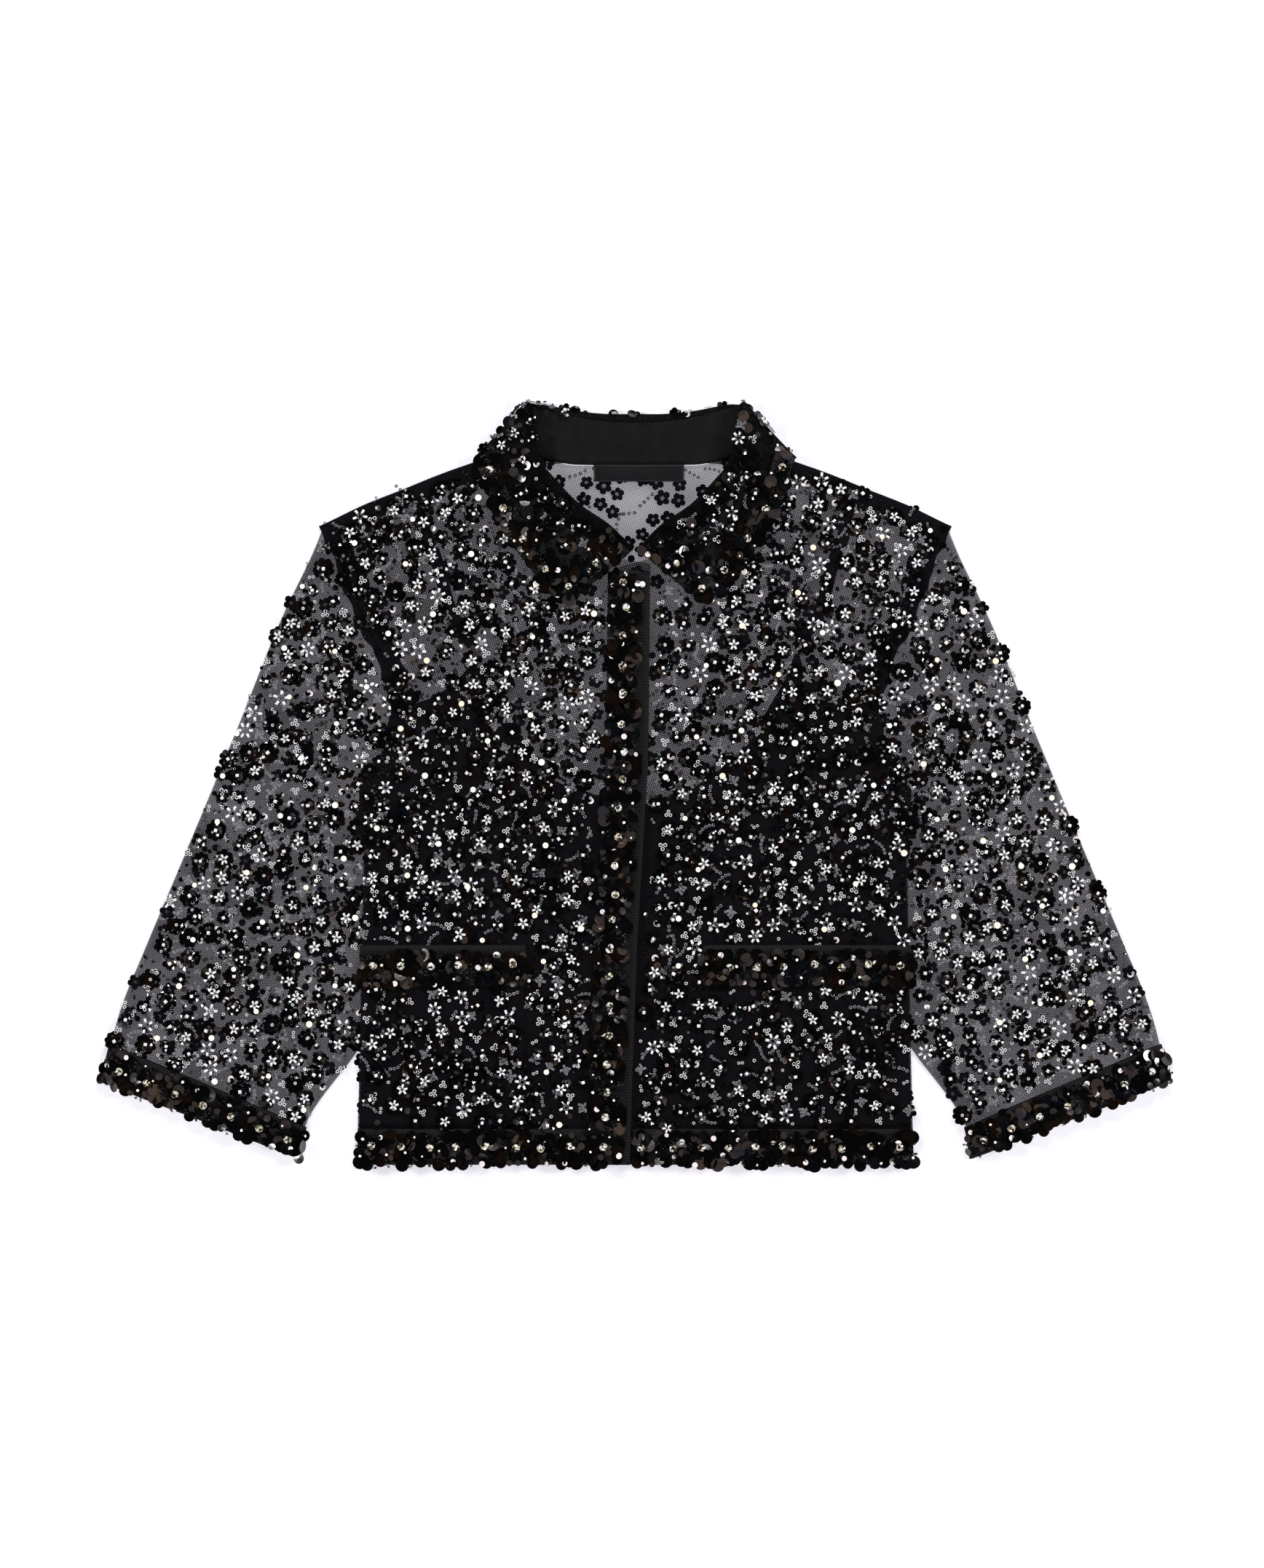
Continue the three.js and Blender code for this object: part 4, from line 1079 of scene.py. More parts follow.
def collarTrimPlace(side):
    outer, front = trims["collarLength"]
    lift, width, corner = trims["collarLift"], collar["trimShare"], collar["frontTrimFrom"]

    def one(distance, share):
        if distance <= outer:
            progress = distance / outer
            around = lerp(lerp(2.02, 3, progress), lerp(2.02, corner, progress), share)
            return leafPoint(side, around, width * share, lift)
        progress = (distance - outer) / front
        up = lerp(0.97 * progress, lerp(width, 0.97, progress), share)
        return leafPoint(side, 3 - (3 - corner) * share, up, lift)

    def place(distance, share):
        distance, share = np.broadcast_arrays(distance, share)
        flat = [one(float(d), float(s)) for d, s in zip(distance.ravel(), share.ravel())]
        return np.array(flat).reshape(*distance.shape, 3)

    return place, outer + front


rng = np.random.default_rng(11)
stonePlaces, trimSurfaces = [], []


def addRibbon(name, kind, place, length):
    first, pitchMm, crest, sequins, rows = stoneRows[kind]
    along = np.linspace(0, length, int(length / trims["stepMm"]) + 2)[:, None]
    across = np.linspace(0, 1, rows + 1)[None]
    uv = np.dstack(np.broadcast_arrays(along, across * 30))
    addSheet(name, place(along, across), grosgrain, uv=uv, thickness=trims["ribbon"])
    trimSurfaces.append(place(along, np.linspace(*sequins, 7)[None]))
    stones = np.arange(first, length - 4, pitchMm)
    stones = stones + rng.uniform(-trims["jitterAlong"], trims["jitterAlong"], len(stones))
    crest = crest + rng.uniform(-trims["jitterAcross"], trims["jitterAcross"], len(stones))
    stonePlaces.extend(place(stones, crest).tolist())


for name, side, height in (("Right", -1, overFrontUnderside), ("Left", 1, frontUnderside)):
    addRibbon("hemRibbon" + name, "hem", *hemPlace(side, height))
    addRibbon("pocketRibbon" + name, "pocket", *pocketPlace(side, height, pocketIn[name.lower()]))
    addRibbon("collarRibbon" + name, "collar", *collarTrimPlace(side))
addRibbon("frontRibbon", "front", frontEdgePlace, trims["frontLength"])

# The cuffs' ribbons go all round, and their stones are on top
cuffs = {"share": 0.065, "rows": 8, "columns": 46, "girth": 330, "length": 470, "stones": 7, "thickness": 0.4}
for name, side in (("Right", -1), ("Left", 1)):
    down = np.linspace(1 - cuffs["share"], 1, cuffs["rows"])
    below, above = sleeveLayersAt(side, down, cuffs["columns"], grow=pitch)
    tube = tubeOf(below, above)
    girth = np.linspace(0, cuffs["girth"], tube.shape[1])
    uv = np.dstack(np.broadcast_arrays(girth[None], down[:, None] * cuffs["length"]))
    if side > 0:
        tube, uv = tube[:, ::-1], uv[:, ::-1]
    addSheet("cuffRibbon" + name, tube, grosgrain, uv=uv, thickness=cuffs["thickness"], wrap=True)
    trimSurfaces.append(above[1:] + (0, 0, 0.1))
    columns = (np.arange(cuffs["stones"]) + 0.5) / cuffs["stones"] * (cuffs["columns"] - 1)
    for column in columns:
        low = int(column)
        stonePlaces.append(lerp(above[4][low], above[4][low + 1], column - low).tolist())

# The back's hem ribbon lies on the surface
backHem = {"rows": 6, "columns": 90, "above": 0.45, "thickness": 0.3}
rowsY = np.linspace(0, hemTrimY, backHem["rows"])[:, None]
hemX = np.linspace(-1, 1, backHem["columns"])[None] * xAt(sideSeam, rowsY)
flat = np.stack([hemX, np.broadcast_to(rowsY, hemX.shape)], -1)
grid = raised(flat, lambda x, y: np.full(x.shape, backHem["above"]))
addSheet("hemRibbonBack", grid, grosgrain, thickness=backHem["thickness"])
print("trims made")

# Beadwork motifs, in mm round their own centres. Each is a list of parts: finish, points and faces.
# Rings are outer radius, hole and height; nuggets and rays are length, width and height.
motifSizes = {
    "petal": 2.5,
    "petalCup": (0.55, 0.18),
    "ring": (1.6, 0.7, 1.1),
    "smallRing": (1.3, 0.5, 0.8),
    "seedRing": (1.15, 0.4, 0.9),
    "dot": (0.9, 0.3, 0.9),
    "nugget": (2.5, 2.3, 1.5),
    "ray": (2.7, 1.5, 1.4),
    "longRay": (2.9, 1.8, 1.5),
}


def cup(radius, sides, dish, film):
    # a cupped sequin, with a raised middle
    angle = np.arange(sides) * 2 * math.pi / sides
    rim = np.column_stack([radius * np.cos(angle), radius * np.sin(angle), np.full(sides, dish)])
    points = np.vstack([rim, [0, 0, film], [0, 0, 0]])
    top = [(i, (i + 1) % sides, sides) for i in range(sides)]
    bottom = [((i + 1) % sides, i, sides + 1) for i in range(sides)]
    return points, top + bottom


def ringBead(outer, hole, height, sides=6):
    # a short tube bead that stands on its end
    angle = np.arange(sides) * 2 * math.pi / sides
    c, s = np.cos(angle), np.sin(angle)
    middle = (outer + hole) / 2
    rings = [(outer, height * 0.25), (middle, height), (hole, height * 0.25)]
    points = np.vstack([np.column_stack([r * c, r * s, np.full(sides, z)]) for r, z in rings])
    faces = []
    for a, b in ((0, 1), (1, 2), (2, 0)):
        for i in range(sides):
            j = (i + 1) % sides
            faces.append((a * sides + i, a * sides + j, b * sides + j, b * sides + i))
    return points, faces


def nugget(length, width, height):
    # a bead that lies on its side, a little wider at the middle
    points = []
    for z, grow in ((0, 0.42), (height * 0.55, 0.5), (height, 0.34)):
        x, y = length * grow, width * grow
        points += [(-x, -y, z), (x, -y, z), (x, y, z), (-x, y, z)]
    faces = [(3, 2, 1, 0), (8, 9, 10, 11)]
    for base in (0, 4):
        faces += [(base + i, base + (i + 1) % 4, base + 4 + (i + 1) % 4, base + 4 + i) for i in range(4)]
    return np.array(points), faces


def turned(part, turn=0.0, tilt=0.0, lean=0.0, at=(0, 0, 0)):
    # tilt lifts the side that turn points at, lean rocks it sideways; both in radians
    points, faces = part
    ct, st, cl, sl = math.cos(tilt), math.sin(tilt), math.cos(lean), math.sin(lean)
    p = points @ np.array([[ct, 0, st], [0, 1, 0], [-st, 0, ct]])
    p = p @ np.array([[1, 0, 0], [0, cl, sl], [0, -sl, cl]])
    c, s = math.cos(turn), math.sin(turn)
    p = p @ np.array([[c, s, 0], [-s, c, 0], [0, 0, 1]])
    return p + at, faces


def placesRound(count, ring, start, wobble=0.0):
    # evenly round a centre, each turned a little by chance
    for i in range(count):
        turn = start + 2 * math.pi * i / count
        if wobble:
            turn += rng.normal(0, wobble)
        yield turn, ring * math.cos(turn), ring * math.sin(turn)


def anyTurn():
    return rng.uniform(0, 6)


def petalRing(count, ring, radius, lift, tilt, smokeShare=0.05):
    parts = []
    start = rng.uniform(0, 2 * math.pi)
    for i, (turn, x, y) in enumerate(placesRound(count, ring, start, 0.05)):
        one = cup(radius * rng.uniform(0.93, 1.07), 7, *motifSizes["petalCup"])
        finish = "smoke" if rng.random() < smokeShare else "petals"
        at = (x, y, lift + 0.25 * (i % 2))
        parts.append((finish, turned(one, turn, tilt + rng.normal(0, 0.16), rng.normal(0, 0.16), at)))
    return parts


def smallFlower():
    parts = petalRing(int(rng.integers(5, 7)), 3.45, motifSizes["petal"], 0.3, 0.2)
    parts.append(("silver", turned(nugget(*motifSizes["nugget"]), rng.uniform(0, 3), at=(0, 0, 0.9))))
    return parts


def largeFlower():
    parts = petalRing(9, 5.6, motifSizes["petal"], 0.2, 0.1)
    parts += petalRing(6, 3.0, motifSizes["petal"], 1.0, 0.22)
    heart = nugget(*motifSizes["nugget"]) if rng.random() < 0.6 else ringBead(*motifSizes["smallRing"])
    parts.append(("silver", turned(heart, rng.uniform(0, 3), at=(0, 0, 1.7))))
    return parts


def rays(count, ring, lift, size):
    parts = []
    start = rng.uniform(0, 2 * math.pi)
    for turn, x, y in placesRound(count, ring, start, 0.07):
        parts.append(("silver", turned(nugget(*size), turn, rng.normal(0, 0.1), at=(x, y, lift))))
    return parts


def starFlower():
    parts = petalRing(8, 5.0, motifSizes["petal"] * 1.1, 0.3, 0.12)
    parts += rays(5, 2.5, 1.1, motifSizes["ray"])
    parts.append(("clear", turned(ringBead(*motifSizes["smallRing"]), at=(0, 0, 1.2))))
    return parts


def looseStar(count):
    parts = rays(count, 4.1, 0.2, motifSizes["longRay"])
    for turn, x, y in placesRound(count, 1.9, anyTurn()):
        parts.append(("clear", turned(ringBead(*motifSizes["dot"], 5), turn, at=(x, y, 0.3))))
    return parts


def trefoil():
    bead = ringBead(*motifSizes["ring"])
    places = placesRound(3, 1.9, anyTurn())
    return [("silver", turned(bead, turn, 0.1, at=(x, y, 0.2))) for turn, x, y in places]


def cluster():
    bead = ringBead(*motifSizes["seedRing"])
    parts = [("clear", turned(bead, at=(0, 0, 0.5)))]
    for count, ring in ((5, 2.15), (4, 3.6)):
        for turn, x, y in placesRound(count, ring, anyTurn(), 0.12):
            at = (x, y, rng.uniform(0.1, 0.5))
            parts.append(("clear", turned(bead, turn, rng.normal(0, 0.2), at=at)))
    return parts


def chain(finish, count, step=2.9, ring=(1.35, 0.65, 0.8), sides=6):
    # a short bent row of beads about its own middle
    parts = []
    bend = rng.uniform(-0.35, 0.35)
    angle = anyTurn()
    x = y = 0.0
    for i in range(count):
        parts.append(turned(ringBead(*ring, sides), angle, rng.normal(0, 0.15), at=(x, y, 0.2)))
        angle += bend
        x += step * math.cos(angle)
        y += step * math.sin(angle)
    shift = np.array([x / 2, y / 2, 0])
    return [(finish, (points - shift, faces)) for points, faces in parts]


def flatFlower():
    parts = petalRing(5, 3.45, motifSizes["petal"], 0.1, 0.05, 0.0)
    parts.append(("clear", turned(ringBead(*motifSizes["smallRing"], 5), at=(0, 0, 0.3))))
    return parts


def flatRings(count):
    return chain("black", count, 3.9, (1.35, 0.55, 0.8), 5)


def strungBeads(finish, count):
    return chain(finish, count, 2.6, (1.2, 0.5, 0.9), 5)


def bigSequin(finish="petals"):
    one = cup(rng.uniform(4.3, 5.4), 12, 0.35, 0.2)
    return [(finish, turned(one, anyTurn(), rng.normal(0, 0.2), rng.normal(0, 0.2), (0, 0, 1.1)))]


def smallSequin(finish, radius, tiltBy=0.25, lift=1.5, sides=9):
    one = cup(rng.uniform(0.9, 1.1) * radius, sides, 0.25, 0.12)
    return [(finish, turned(one, anyTurn(), rng.normal(0, tiltBy), rng.normal(0, tiltBy), (0, 0, lift)))]


def pearlDrop(behind):
    # a pearl sequin half under a black one, so that a crescent shows
    parts = smallSequin("pearl", 2.5, 0.15, 0.4)
    parts.append(("petals", turned(cup(2.2, 9, 0.2, 0.12), 0, 0.1, 0.1, (behind, 0.6, 1.0))))
    parts.append(("silver", turned(ringBead(1.2, 0.5, 0.9), at=(behind, -1.2, 1.3))))
    return parts


def blackTuft():
    parts = []
    for _ in range(5):
        at = (*rng.uniform(-2.6, 2.6, 2), rng.uniform(0.8, 2.2))
        parts.append(("black", turned(ringBead(1.1, 0.35, 1.2, 5), anyTurn(), rng.normal(0, 0.5), at=at)))
    if rng.random() < 0.4:
        at = (*rng.uniform(-2, 2, 2), 2.0)
        parts.append(("clear", turned(ringBead(*motifSizes["dot"], 5), anyTurn(), at=at)))
    return parts


def facetedStone(radius, height, sides):
    # a flat top, a ring of slopes turned half a side, and a girdle
    angle = np.arange(sides) * 2 * math.pi / sides
    rings = [(radius, 0.5, 0), (radius * 0.84, height * 0.66, 0.5), (radius * 0.52, height, 0)]
    points = []
    for r, z, turn in rings:
        a = angle + turn * 2 * math.pi / sides
        points += list(zip(r * np.cos(a), r * np.sin(a), np.full(sides, z)))
    points += [(0, 0, height), (0, 0, 0)]
    faces = []
    for i in range(sides):
        j = (i + 1) % sides
        faces += [(i, j, sides + i), (j, sides + j, sides + i)]
        faces += [(sides + i, sides + j, 2 * sides + j), (sides + i, 2 * sides + j, 2 * sides + i)]
        faces += [(2 * sides + i, 2 * sides + j, 3 * sides), (j, i, 3 * sides + 1)]
    return np.array(points), faces


finishes = {
    "petals": blackSequin,
    "smoke": smokeSequin,
    "pearl": pearlSequin,
    "clearSequins": glintPaintedSequin,
    "silver": silverBead,
    "clear": clearBead,
    "black": blackBead,
}
roundedFinishes = ("silver", "clear", "black")


def motifCollections(setName, motifs):
    # one collection for each finish, with the motifs' parts in the same order in each
    made = {}
    used = sorted({finish for motif in motifs for finish, _ in motif})
    for finish in used:
        collection = bpy.data.collections.new(f"{setName}.{finish}")
        bpy.context.scene.collection.children.link(collection)
        made[finish] = collection
        for index, motif in enumerate(motifs):
            points, faces = [], []
            for partFinish, (partPoints, partFaces) in motif:
                if partFinish == finish:
                    faces += [tuple(len(points) + k for k in face) for face in partFaces]
                    points += (np.asarray(partPoints) / 1000).tolist()
            mesh = bpy.data.meshes.new(f"{setName}.{finish}.{index:02d}")
            mesh.from_pydata(points, [], faces)
            mesh.polygons.foreach_set("use_smooth", [finish in roundedFinishes] * len(mesh.polygons))
            stamp = bpy.data.objects.new(mesh.name, mesh)
            stamp.hide_render = True
            collection.objects.link(stamp)
    return made


motifLists = {
    "sewn": [smallFlower() for _ in range(7)]
    + [largeFlower() for _ in range(6)]
    + [starFlower() for _ in range(5)]
    + [looseStar(count) for count in (5, 5, 6)],
    "sprinkled": [trefoil() for _ in range(3)]
    + [cluster() for _ in range(2)]
    + [chain("clear", count) for count in (3, 4, 5)]
    + [chain("silver", count) for count in (2, 2, 1, 1)]
    + [pearlDrop(behind) for behind in (1.7, 1.2)]
    + [smallSequin("smoke", 2.3), smallSequin("petals", 2.4), smallSequin("petals", 2.4)],
    "under": [flatFlower() for _ in range(6)]
    + [flatRings(count) for count in (5, 4, 4, 3)]
    + [smallSequin("petals", 2.4, 0.05, 0.2)],
    "band": [bigSequin() for _ in range(10)]
    + [bigSequin("smoke") for _ in range(2)]
    + [smallSequin("smoke", 2.6) for _ in range(2)]
    + [blackTuft() for _ in range(5)],
    "pearls": [smallSequin("pearl", 2.1, 0.3, 2.2), smallSequin("smoke", 2.8, 0.3, 2.2)]
    + [smallSequin("pearl", 1.6)]
    # the smallest clear sequins are white dots, painted glints among the trims' sequins
    + [smallSequin("clearSequins", radius, 0.3, 2.7, 6) for radius in (0.9, 1.0, 1.2)],
    "glints": [smallSequin("clearSequins", radius, 0.06, 2.6) for radius in (1.9, 2.2, 2.6)],
    "filling": [smallSequin("petals", radius, 0.3, 0.6, 6) for radius in (1.5, 1.8, 2.1, 2.1)]
    + [strungBeads("black", count) for count in (2, 1)]
    + [strungBeads("clear", count) for count in (1, 2)],
}
motifSets = {name: motifCollections(name, motifs) for name, motifs in motifLists.items()}


# Geometry Nodes: motifs scattered over a surface no closer than a spacing, each with its own turn
def scatterTree():
    tree = bpy.data.node_groups.new("sewnMotifs", "GeometryNodeTree")
    for name, kind in (
        ("Surface", "Geometry"),
        ("Motifs", "Collection"),
        ("Spacing", "Float"),
        ("Most per square metre", "Float"),
        ("Seed", "Int"),
        ("Last motif", "Int"),
        ("Smallest", "Float"),
        ("Largest", "Float"),
        ("Finish", "Material"),
    ):
        tree.interface.new_socket(name, in_out="INPUT", socket_type="NodeSocket" + kind)
    tree.interface.new_socket("Beadwork", in_out="OUTPUT", socket_type="NodeSocketGeometry")
    given = node(tree, "NodeGroupInput").outputs
    zone = node(tree, "GeometryNodeInputNamedAttribute", {"Name": "beadZone"}, data_type="FLOAT").outputs[0]
    spread = node(
        tree,
        "GeometryNodeDistributePointsOnFaces",
        {
            "Mesh": given["Surface"],
            "Distance Min": given["Spacing"],
            "Density Max": given["Most per square metre"],
            "Density Factor": zone,
            "Seed": given["Seed"],
        },
        distribute_method="POISSON",
    )
    which = node(tree, "FunctionNodeRandomValue", {"Seed": given["Seed"]}, data_type="INT")
    tree.links.new(given["Last motif"], which.inputs[5])
    which.inputs[4].default_value = 0
    angle = node(tree, "FunctionNodeRandomValue", {"Seed": given["Seed"]}, data_type="FLOAT_VECTOR")
    angle.inputs[0].default_value = (0, 0, 0)
    angle.inputs[1].default_value = (0, 0, 2 * math.pi)
    turnedBy = node(tree, "FunctionNodeRotateRotation", rotation_space="LOCAL")
    tree.links.new(spread.outputs["Rotation"], turnedBy.inputs[0])
    tree.links.new(angle.outputs[0], turnedBy.inputs[1])
    size = node(tree, "FunctionNodeRandomValue", {"Seed": given["Seed"]}, data_type="FLOAT")
    tree.links.new(given["Smallest"], size.inputs[2])
    tree.links.new(given["Largest"], size.inputs[3])
    stamps = node(tree, "GeometryNodeCollectionInfo", {"Collection": given["Motifs"]})
    stamps.inputs["Separate Children"].default_value = True
    stamps.inputs["Reset Children"].default_value = True
    placed = node(
        tree,
        "GeometryNodeInstanceOnPoints",
        {
            "Points": spread.outputs["Points"],
            "Instance": stamps.outputs[0],
            "Pick Instance": True,
            "Instance Index": which.outputs[2],
            "Rotation": turnedBy.outputs[0],
            "Scale": size.outputs[1],
        },
    )
    real = node(tree, "GeometryNodeRealizeInstances", {"Geometry": placed.outputs[0]})
    settings = {"Geometry": real.outputs[0], "Material": given["Finish"]}
    painted = node(tree, "GeometryNodeSetMaterial", settings)
    node(tree, "NodeGroupOutput", {0: painted.outputs[0]})
    return tree


scatter = scatterTree()
scatterKeys = {item.name: item.identifier for item in scatter.interface.items_tree if item.in_out == "INPUT"}


def surfaceObject(grids):
    # grids: (rows x columns x 3, zone) pairs, joined into one surface to sew on
    allPoints, allFaces, allZones = [], [], []
    for grid, zone in grids:
        points = grid.reshape(-1, 3)
        faces = facingUp(points, gridFaces(*grid.shape[:2]))
        allFaces.append(faces + sum(len(p) for p in allPoints))
        allPoints.append(points)
        allZones.append(np.broadcast_to(zone, grid.shape[:2]).reshape(-1))
    mesh = meshOf("sewingSurface", np.vstack(allPoints), np.vstack(allFaces), zone=np.concatenate(allZones))
    return addObject("sewingSurface", mesh, None)


def evaluatedMesh(base, name):
    depsgraph = bpy.context.evaluated_depsgraph_get()
    mesh = bpy.data.meshes.new_from_object(base.evaluated_get(depsgraph))
    mesh.name = name
    return mesh


def sewOn(region, grids, setName, spacingMm, seed, sizes, flatten):
    # one piece for each finish; flatten gives the heights of motifs that are pressed between layers
    base = surfaceObject(grids)
    counts = {}
    for finish, collection in motifSets[setName].items():
        modifier = base.modifiers.new("sewn", "NODES")
        modifier.node_group = scatter
        values = {
            "Motifs": collection,
            "Spacing": spacingMm / 1000,
            "Most per square metre": 4e6 / spacingMm**2,  # far more than the spacing lets in
            "Seed": seed,
            "Last motif": len(collection.objects) - 1,
            "Smallest": sizes[0],
            "Largest": sizes[1],
            "Finish": finishes[finish],
        }
        for key, value in values.items():
            modifier[scatterKeys[key]] = value
        base.update_tag()
        mesh = evaluatedMesh(base, f"{finish}_{region}")
        base.modifiers.remove(modifier)
        points = np.zeros(len(mesh.vertices) * 3)
        mesh.vertices.foreach_get("co", points)
        points = points.reshape(-1, 3)
        points[:, 2] = np.maximum(flatten(points) if flatten else points[:, 2], 0.00005)  # clear of the floor
        mesh.vertices.foreach_set("co", points.ravel())
        pieces[mesh.name] = addObject(mesh.name, mesh, None)
        counts[finish] = len(mesh.polygons)
    bpy.data.objects.remove(base)
    print(region, counts)


def pressedUnderSleeve(points):
    return points[:, 2] * 0.35 + 0.0001


def pressedUnderBack(points):
    x, y = points[:, 0] * 1000, points[:, 1] * 1000 - hemY
    aboveNet = points[:, 2] - backHeight(x, y) / 1000
    return backUnderside(x, y) / 1000 + np.minimum(aboveNet * 0.3 + 0.0001, 0.0006)


# Seams have beads on their tapes; on the shoulders only on the inner half, clear of the seam
seamSides = np.arange(tape["columns"])[None]
seams = [(grid, seamSides >= (0, 3)[index % 2]) for index, grid in enumerate(seamGrids)]
onCollar = [(fallGrid, fallZone)]
onTrims = [(surface, np.ones(surface.shape[:2])) for surface in trimSurfaces]
everywhere = [*fronts, *onPockets, *upperLayers]
usual, mixed = (0.92, 1.1), (0.8, 1.1)
beadwork = {
    # what it is sewn on, motifs, spacing in mm, seed, smallest and largest size, and how it is pressed flat
    "fronts": (fronts, "sewn", 13.4, 3, usual, None),
    "frontsBetween": (fronts, "sprinkled", 9.2, 4, usual, None),
    "seams": (seams, "under", 10, 51, usual, None),
    "pockets": (onPockets, "sewn", 13.4, 5, usual, None),
    "pocketsBetween": (onPockets, "sprinkled", 9.2, 6, usual, None),
    "sleeves": (upperLayers, "sewn", 13.2, 8, usual, None),
    "sleevesBetween": (upperLayers, "sprinkled", 8.7, 9, usual, None),
    "glints": (everywhere, "glints", 33, 61, usual, None),
    "sleevesFilling": (upperLayers, "filling", 6.5, 62, mixed, None),
    "frontsFilling": (fronts, "filling", 8.5, 63, mixed, None),
    "sleevesUnder": (lowerLayers, "under", 14, 13, usual, pressedUnderSleeve),
    "back": ([(backGrid, backZone)], "under", 11, 21, usual, pressedUnderBack),
    "collar": (onCollar, "sewn", 13, 34, (0.85, 1.0), None),
    "collarSequins": (onCollar, "band", 7.2, 36, (0.7, 0.9), None),
    "collarBetween": (onCollar, "sprinkled", 9.5, 35, (0.9, 1.1), None),
    "trims": (onTrims, "band", 4.4, 40, (0.85, 1.1), None),
    "trimsAmong": (onTrims, "pearls", 12.5, 41, usual, None),
}
for region, settings in beadwork.items():
    sewOn(region, *settings)
print("beadwork sewn on")

# The large stones of the trims, one for each place
stones = {"radius": 3.15, "height": 2.2, "sides": 8, "above": 1.3, "lean": 0.12}
shape = facetedStone(stones["radius"], stones["height"], stones["sides"])
stonePoints, stoneFaces = [], []
for place in np.array(stonePlaces) + (0, 0, stones["above"]):
    turn, tilt, lean = anyTurn(), rng.normal(0, stones["lean"]), rng.normal(0, stones["lean"])
    points, faces = turned(shape, turn, tilt, lean, place)
    stoneFaces += [tuple(len(points) * len(stonePoints) + k for k in face) for face in faces]
    stonePoints.append(points)
mesh = meshOf("trimStones", np.vstack(stonePoints), stoneFaces)
mesh.polygons.foreach_set("use_smooth", [False] * len(mesh.polygons))
pieces["trimStones"] = addObject("trimStones", mesh, stoneGlass)

# Press studs: low moulded domes with a rim, as shares of their radius and height from the edge up
studs = {"radius": 2.3, "height": 1.4, "sides": 40}
studs["places"] = {"studTop": (5.3, 438.5), "studBottom": (-12.4, 7)}
studProfile = [(1.0, 0.0), (1.0, 0.34), (0.93, 0.45), (0.86, 0.4), (0.8, 0.62), (0.62, 0.86), (0.3, 0.98)]
studProfile.append((0.05, 1.0))
for name, (x, y) in studs["places"].items():
    angle = np.arange(studs["sides"]) * 2 * math.pi / studs["sides"]
    share, rise = np.array(studProfile).T[:, :, None]
    ringX = x + studs["radius"] * share * np.cos(angle)
    ringY = y + studs["radius"] * share * np.sin(angle)
    base = overFrontUnderside(x, y) + cloth + pitch + gap
    grid = np.stack([ringX, ringY, base + studs["height"] * rise + np.zeros_like(ringX)], -1)
    faces = gridFaces(*grid.shape[:2], wrap=True).tolist()
    faces.append(list(range(studs["sides"]))[::-1])
    faces.append([(len(studProfile) - 1) * studs["sides"] + i for i in range(studs["sides"])])
    pieces[name] = addObject(name, meshOf(name, grid.reshape(-1, 3), faces), studPlastic)
print("stones and press studs made")

# The motifs' own stamps aren't part of the blouse
for made in motifSets.values():
    for collection in made.values():
        for stamp in list(collection.objects):
            bpy.data.objects.remove(stamp)
        bpy.data.collections.remove(collection)

# Each cloth: the solid that it stands for, its cut's width and length in m, its area in square metres
# where the cut isn't a rectangle, and what it lies on
cloths = {
    "backNet": ("back", 0.470, 0.545, 0.2151, "floor"),
    "frontNetRight": ("front_right", 0.246, 0.545, 0.1054, "liningRight"),
    "frontNetLeft": ("front_left", 0.260, 0.545, 0.1109, "liningLeft"),
    "liningRight": ("lining_front_right", 0.191, 0.383, 0.0592, "backNet"),
    "liningLeft": ("lining_front_left", 0.219, 0.383, 0.0673, "backNet"),
    "strapRight": ("lining_strap_right", 0.010, 0.130, 0.0012, "backNet"),
    "strapLeft": ("lining_strap_left", 0.010, 0.130, 0.0012, "backNet"),
    "sleeveRight": ("sleeve_right", 0.370, 0.482, 0.1166, "floor"),
    "sleeveLeft": ("sleeve_left", 0.370, 0.482, 0.1166, "floor"),
    "cuffRibbonRight": ("cuff_trim_right", 0.330, 0.030, 0.0087, "sleeveRight"),
    "cuffRibbonLeft": ("cuff_trim_left", 0.330, 0.030, 0.0087, "sleeveLeft"),
    "pocketRight": ("pocket_right", 0.126, 0.134, 0.0163, "frontNetRight"),
    "pocketLeft": ("pocket_left", 0.157, 0.134, 0.0204, "frontNetLeft"),
    "pocketRibbonRight": ("pocket_trim_right", 0.128, 0.031, None, "pocketRight"),
    "pocketRibbonLeft": ("pocket_trim_left", 0.160, 0.031, None, "pocketLeft"),
    "hemRibbonRight": ("hem_trim_front_right", 0.174, 0.027, None, "frontNetRight"),
    "hemRibbonLeft": ("hem_trim_front_left", 0.214, 0.027, None, "frontNetLeft"),
    "hemRibbonBack": ("hem_trim_back", 0.421, 0.027, None, "floor"),
    "frontRibbon": ("front_trim", 0.032, 0.448, None, "frontNetRight"),
    "collarFall": ("collar_fall", 0.500, 0.066, 0.0273, "collarBand"),
    "collarBand": ("collar_inner_band", 0.340, 0.040, 0.0096, "backNet"),
    "collarRibbonRight": ("collar_trim_right", 0.192, 0.020, 0.0032, "collarFall"),
    "collarRibbonLeft": ("collar_trim_left", 0.192, 0.020, 0.0032, "collarFall"),
    "neckLabel": ("neck_label", 0.069, 0.013, None, "backNet"),
}
for index in range(4):
    cloths[f"seamTape{index}"] = (None, *((0.0175, 0.257), (0.0132, 0.160))[index % 2], None, "backNet")
solidNames = {name: row[0] for name, row in cloths.items() if row[0]}
solidNames |= {"studTop": "press_stud_top", "studBottom": "press_stud_bottom"}
for name, piece in pieces.items():
    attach(piece, "root")
    if name in solidNames:
        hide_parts(solidNames[name])

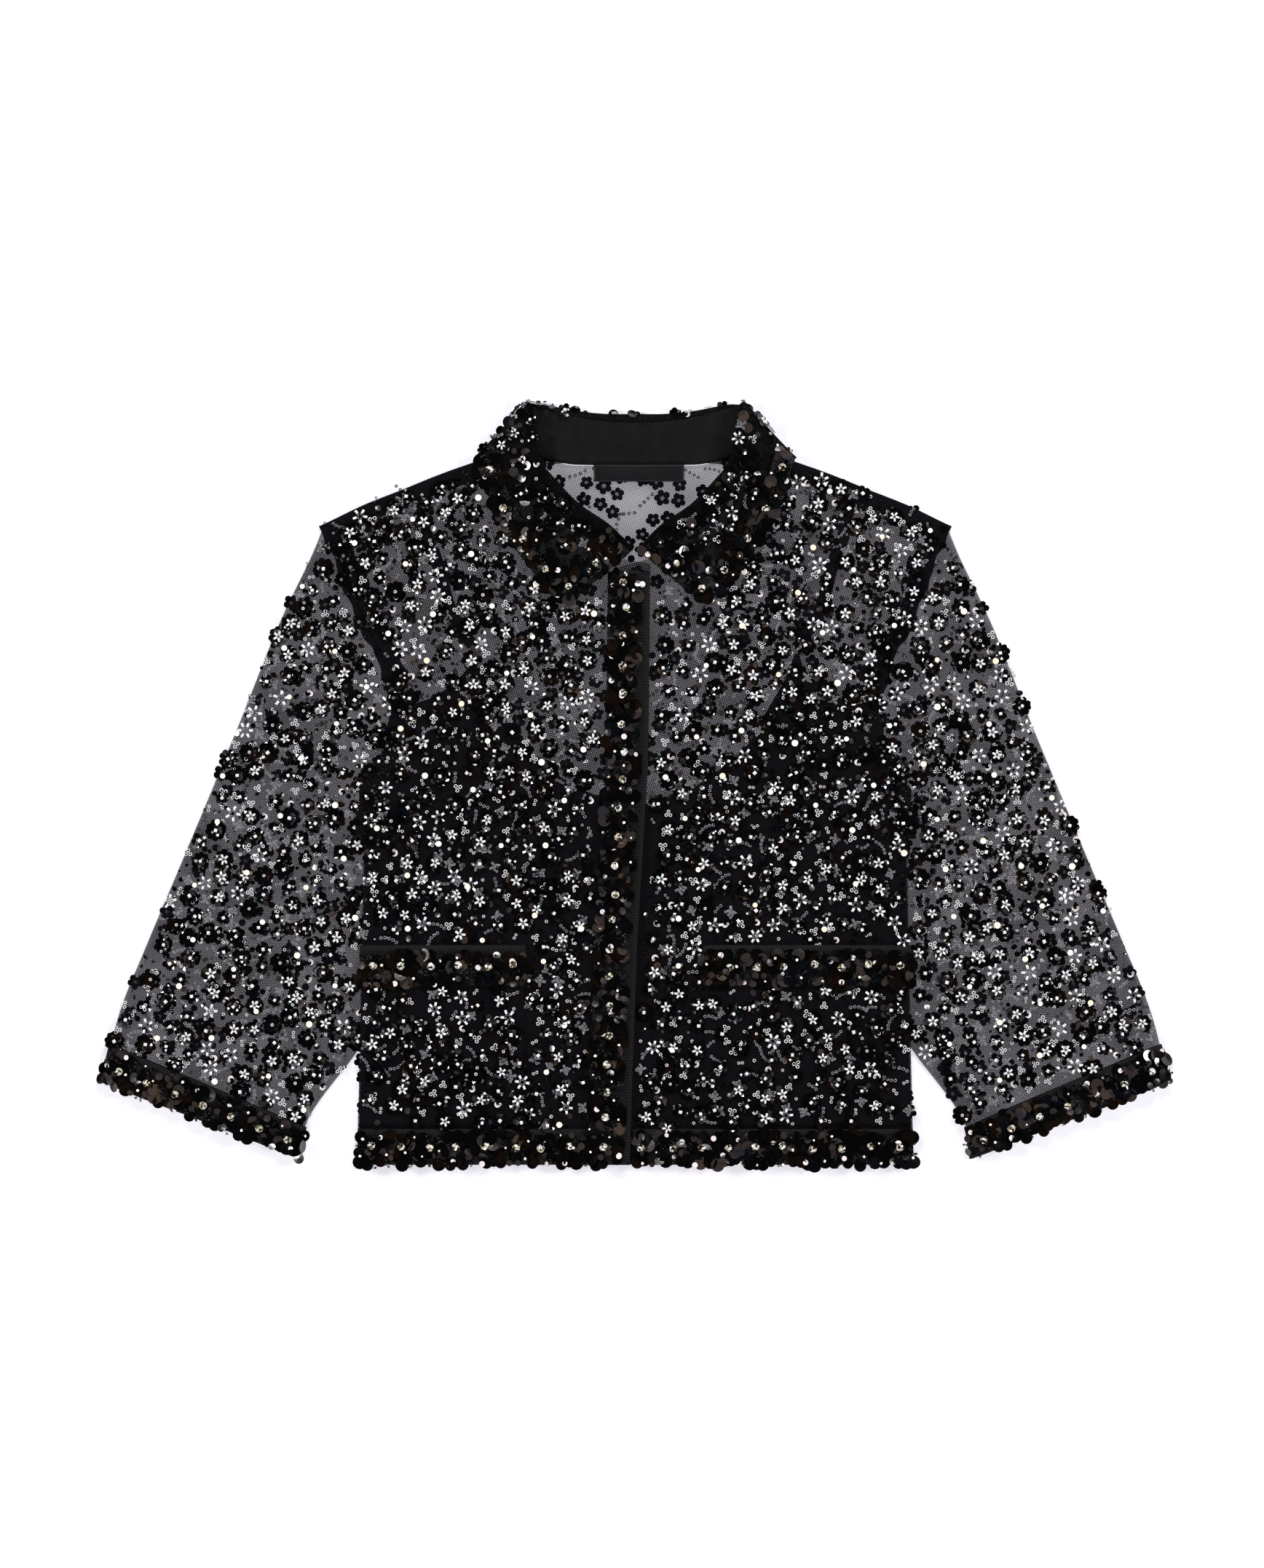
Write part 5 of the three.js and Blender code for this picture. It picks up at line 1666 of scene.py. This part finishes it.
# The floor, soft light from the sides and a camera straight above, in metres
stage = {
    "floorSize": 12,
    "floorZ": -0.0002,
    "floorGlow": 0.62,  # lit a little from below, as on a light table
    "roomLight": 0.02,
    "cameraPlace": (-0.0025, -0.001, 3.296),
    "lens": 100,
}
corner = stage["floorSize"] / 2
floorMesh = bpy.data.meshes.new("floor")
floorCorners = [(x * corner, y * corner, 0) for x, y in ((-1, -1), (1, -1), (1, 1), (-1, 1))]
floorMesh.from_pydata(floorCorners, [], [(0, 1, 2, 3)])
shader = {"Base Color": colour("#b6b6b6"), "Roughness": 0.9, "Specular IOR Level": 0.1}
shader |= {"Emission Color": colour("#f8f4ff"), "Emission Strength": stage["floorGlow"]}
floor = addObject("floor", floorMesh, newMaterial("white paper floor", shader)[0])
floor.location.z = stage["floorZ"]
floor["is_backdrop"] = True

softboxes = {
    # place and watts
    "leftSoftbox": ((-2.7, 0.6, 1.55), 64),
    "rightSoftbox": ((2.7, 0.4, 1.6), 64),
    "topSoftbox": ((0.3, 2.7, 1.6), 64),
    "frontSoftbox": ((-0.3, -2.8, 1.55), 56),
}
for name, (place, watts) in softboxes.items():
    light = bpy.data.lights.new(name, "AREA")
    light.shape = "SQUARE"
    light.size = 0.7
    light.energy = watts
    lamp = bpy.data.objects.new(name, light)
    lamp.location = place
    lean = math.acos(place[2] / np.linalg.norm(place))  # from straight down to the blouse's middle
    lamp.rotation_euler = (lean, 0, math.atan2(-place[1], -place[0]) - math.pi / 2)
    bpy.context.scene.collection.objects.link(lamp)

world = bpy.data.worlds.new("studio")
bpy.context.scene.world = world
world.use_nodes = True
background = world.node_tree.nodes["Background"]
seen = node(world.node_tree, "ShaderNodeLightPath").outputs["Is Camera Ray"]
settings = {0: seen, 3: stage["roomLight"], 4: 1.0}  # a dim room before a pale backdrop
glow = node(world.node_tree, "ShaderNodeMapRange", settings).outputs[0]
world.node_tree.links.new(glow, background.inputs["Strength"])
background.inputs["Color"].default_value = colour("#ffffff")
bpy.context.scene.view_settings.view_transform = "Standard"

cameraData = bpy.data.cameras.new("above")
cameraData.lens = stage["lens"]
cameraData.sensor_width = 36
camera = bpy.data.objects.new("above", cameraData)
camera.location = stage["cameraPlace"]
bpy.context.scene.collection.objects.link(camera)
bpy.context.scene.camera = camera
print("stage set")

bpy.context.view_layer.update()
low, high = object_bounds()
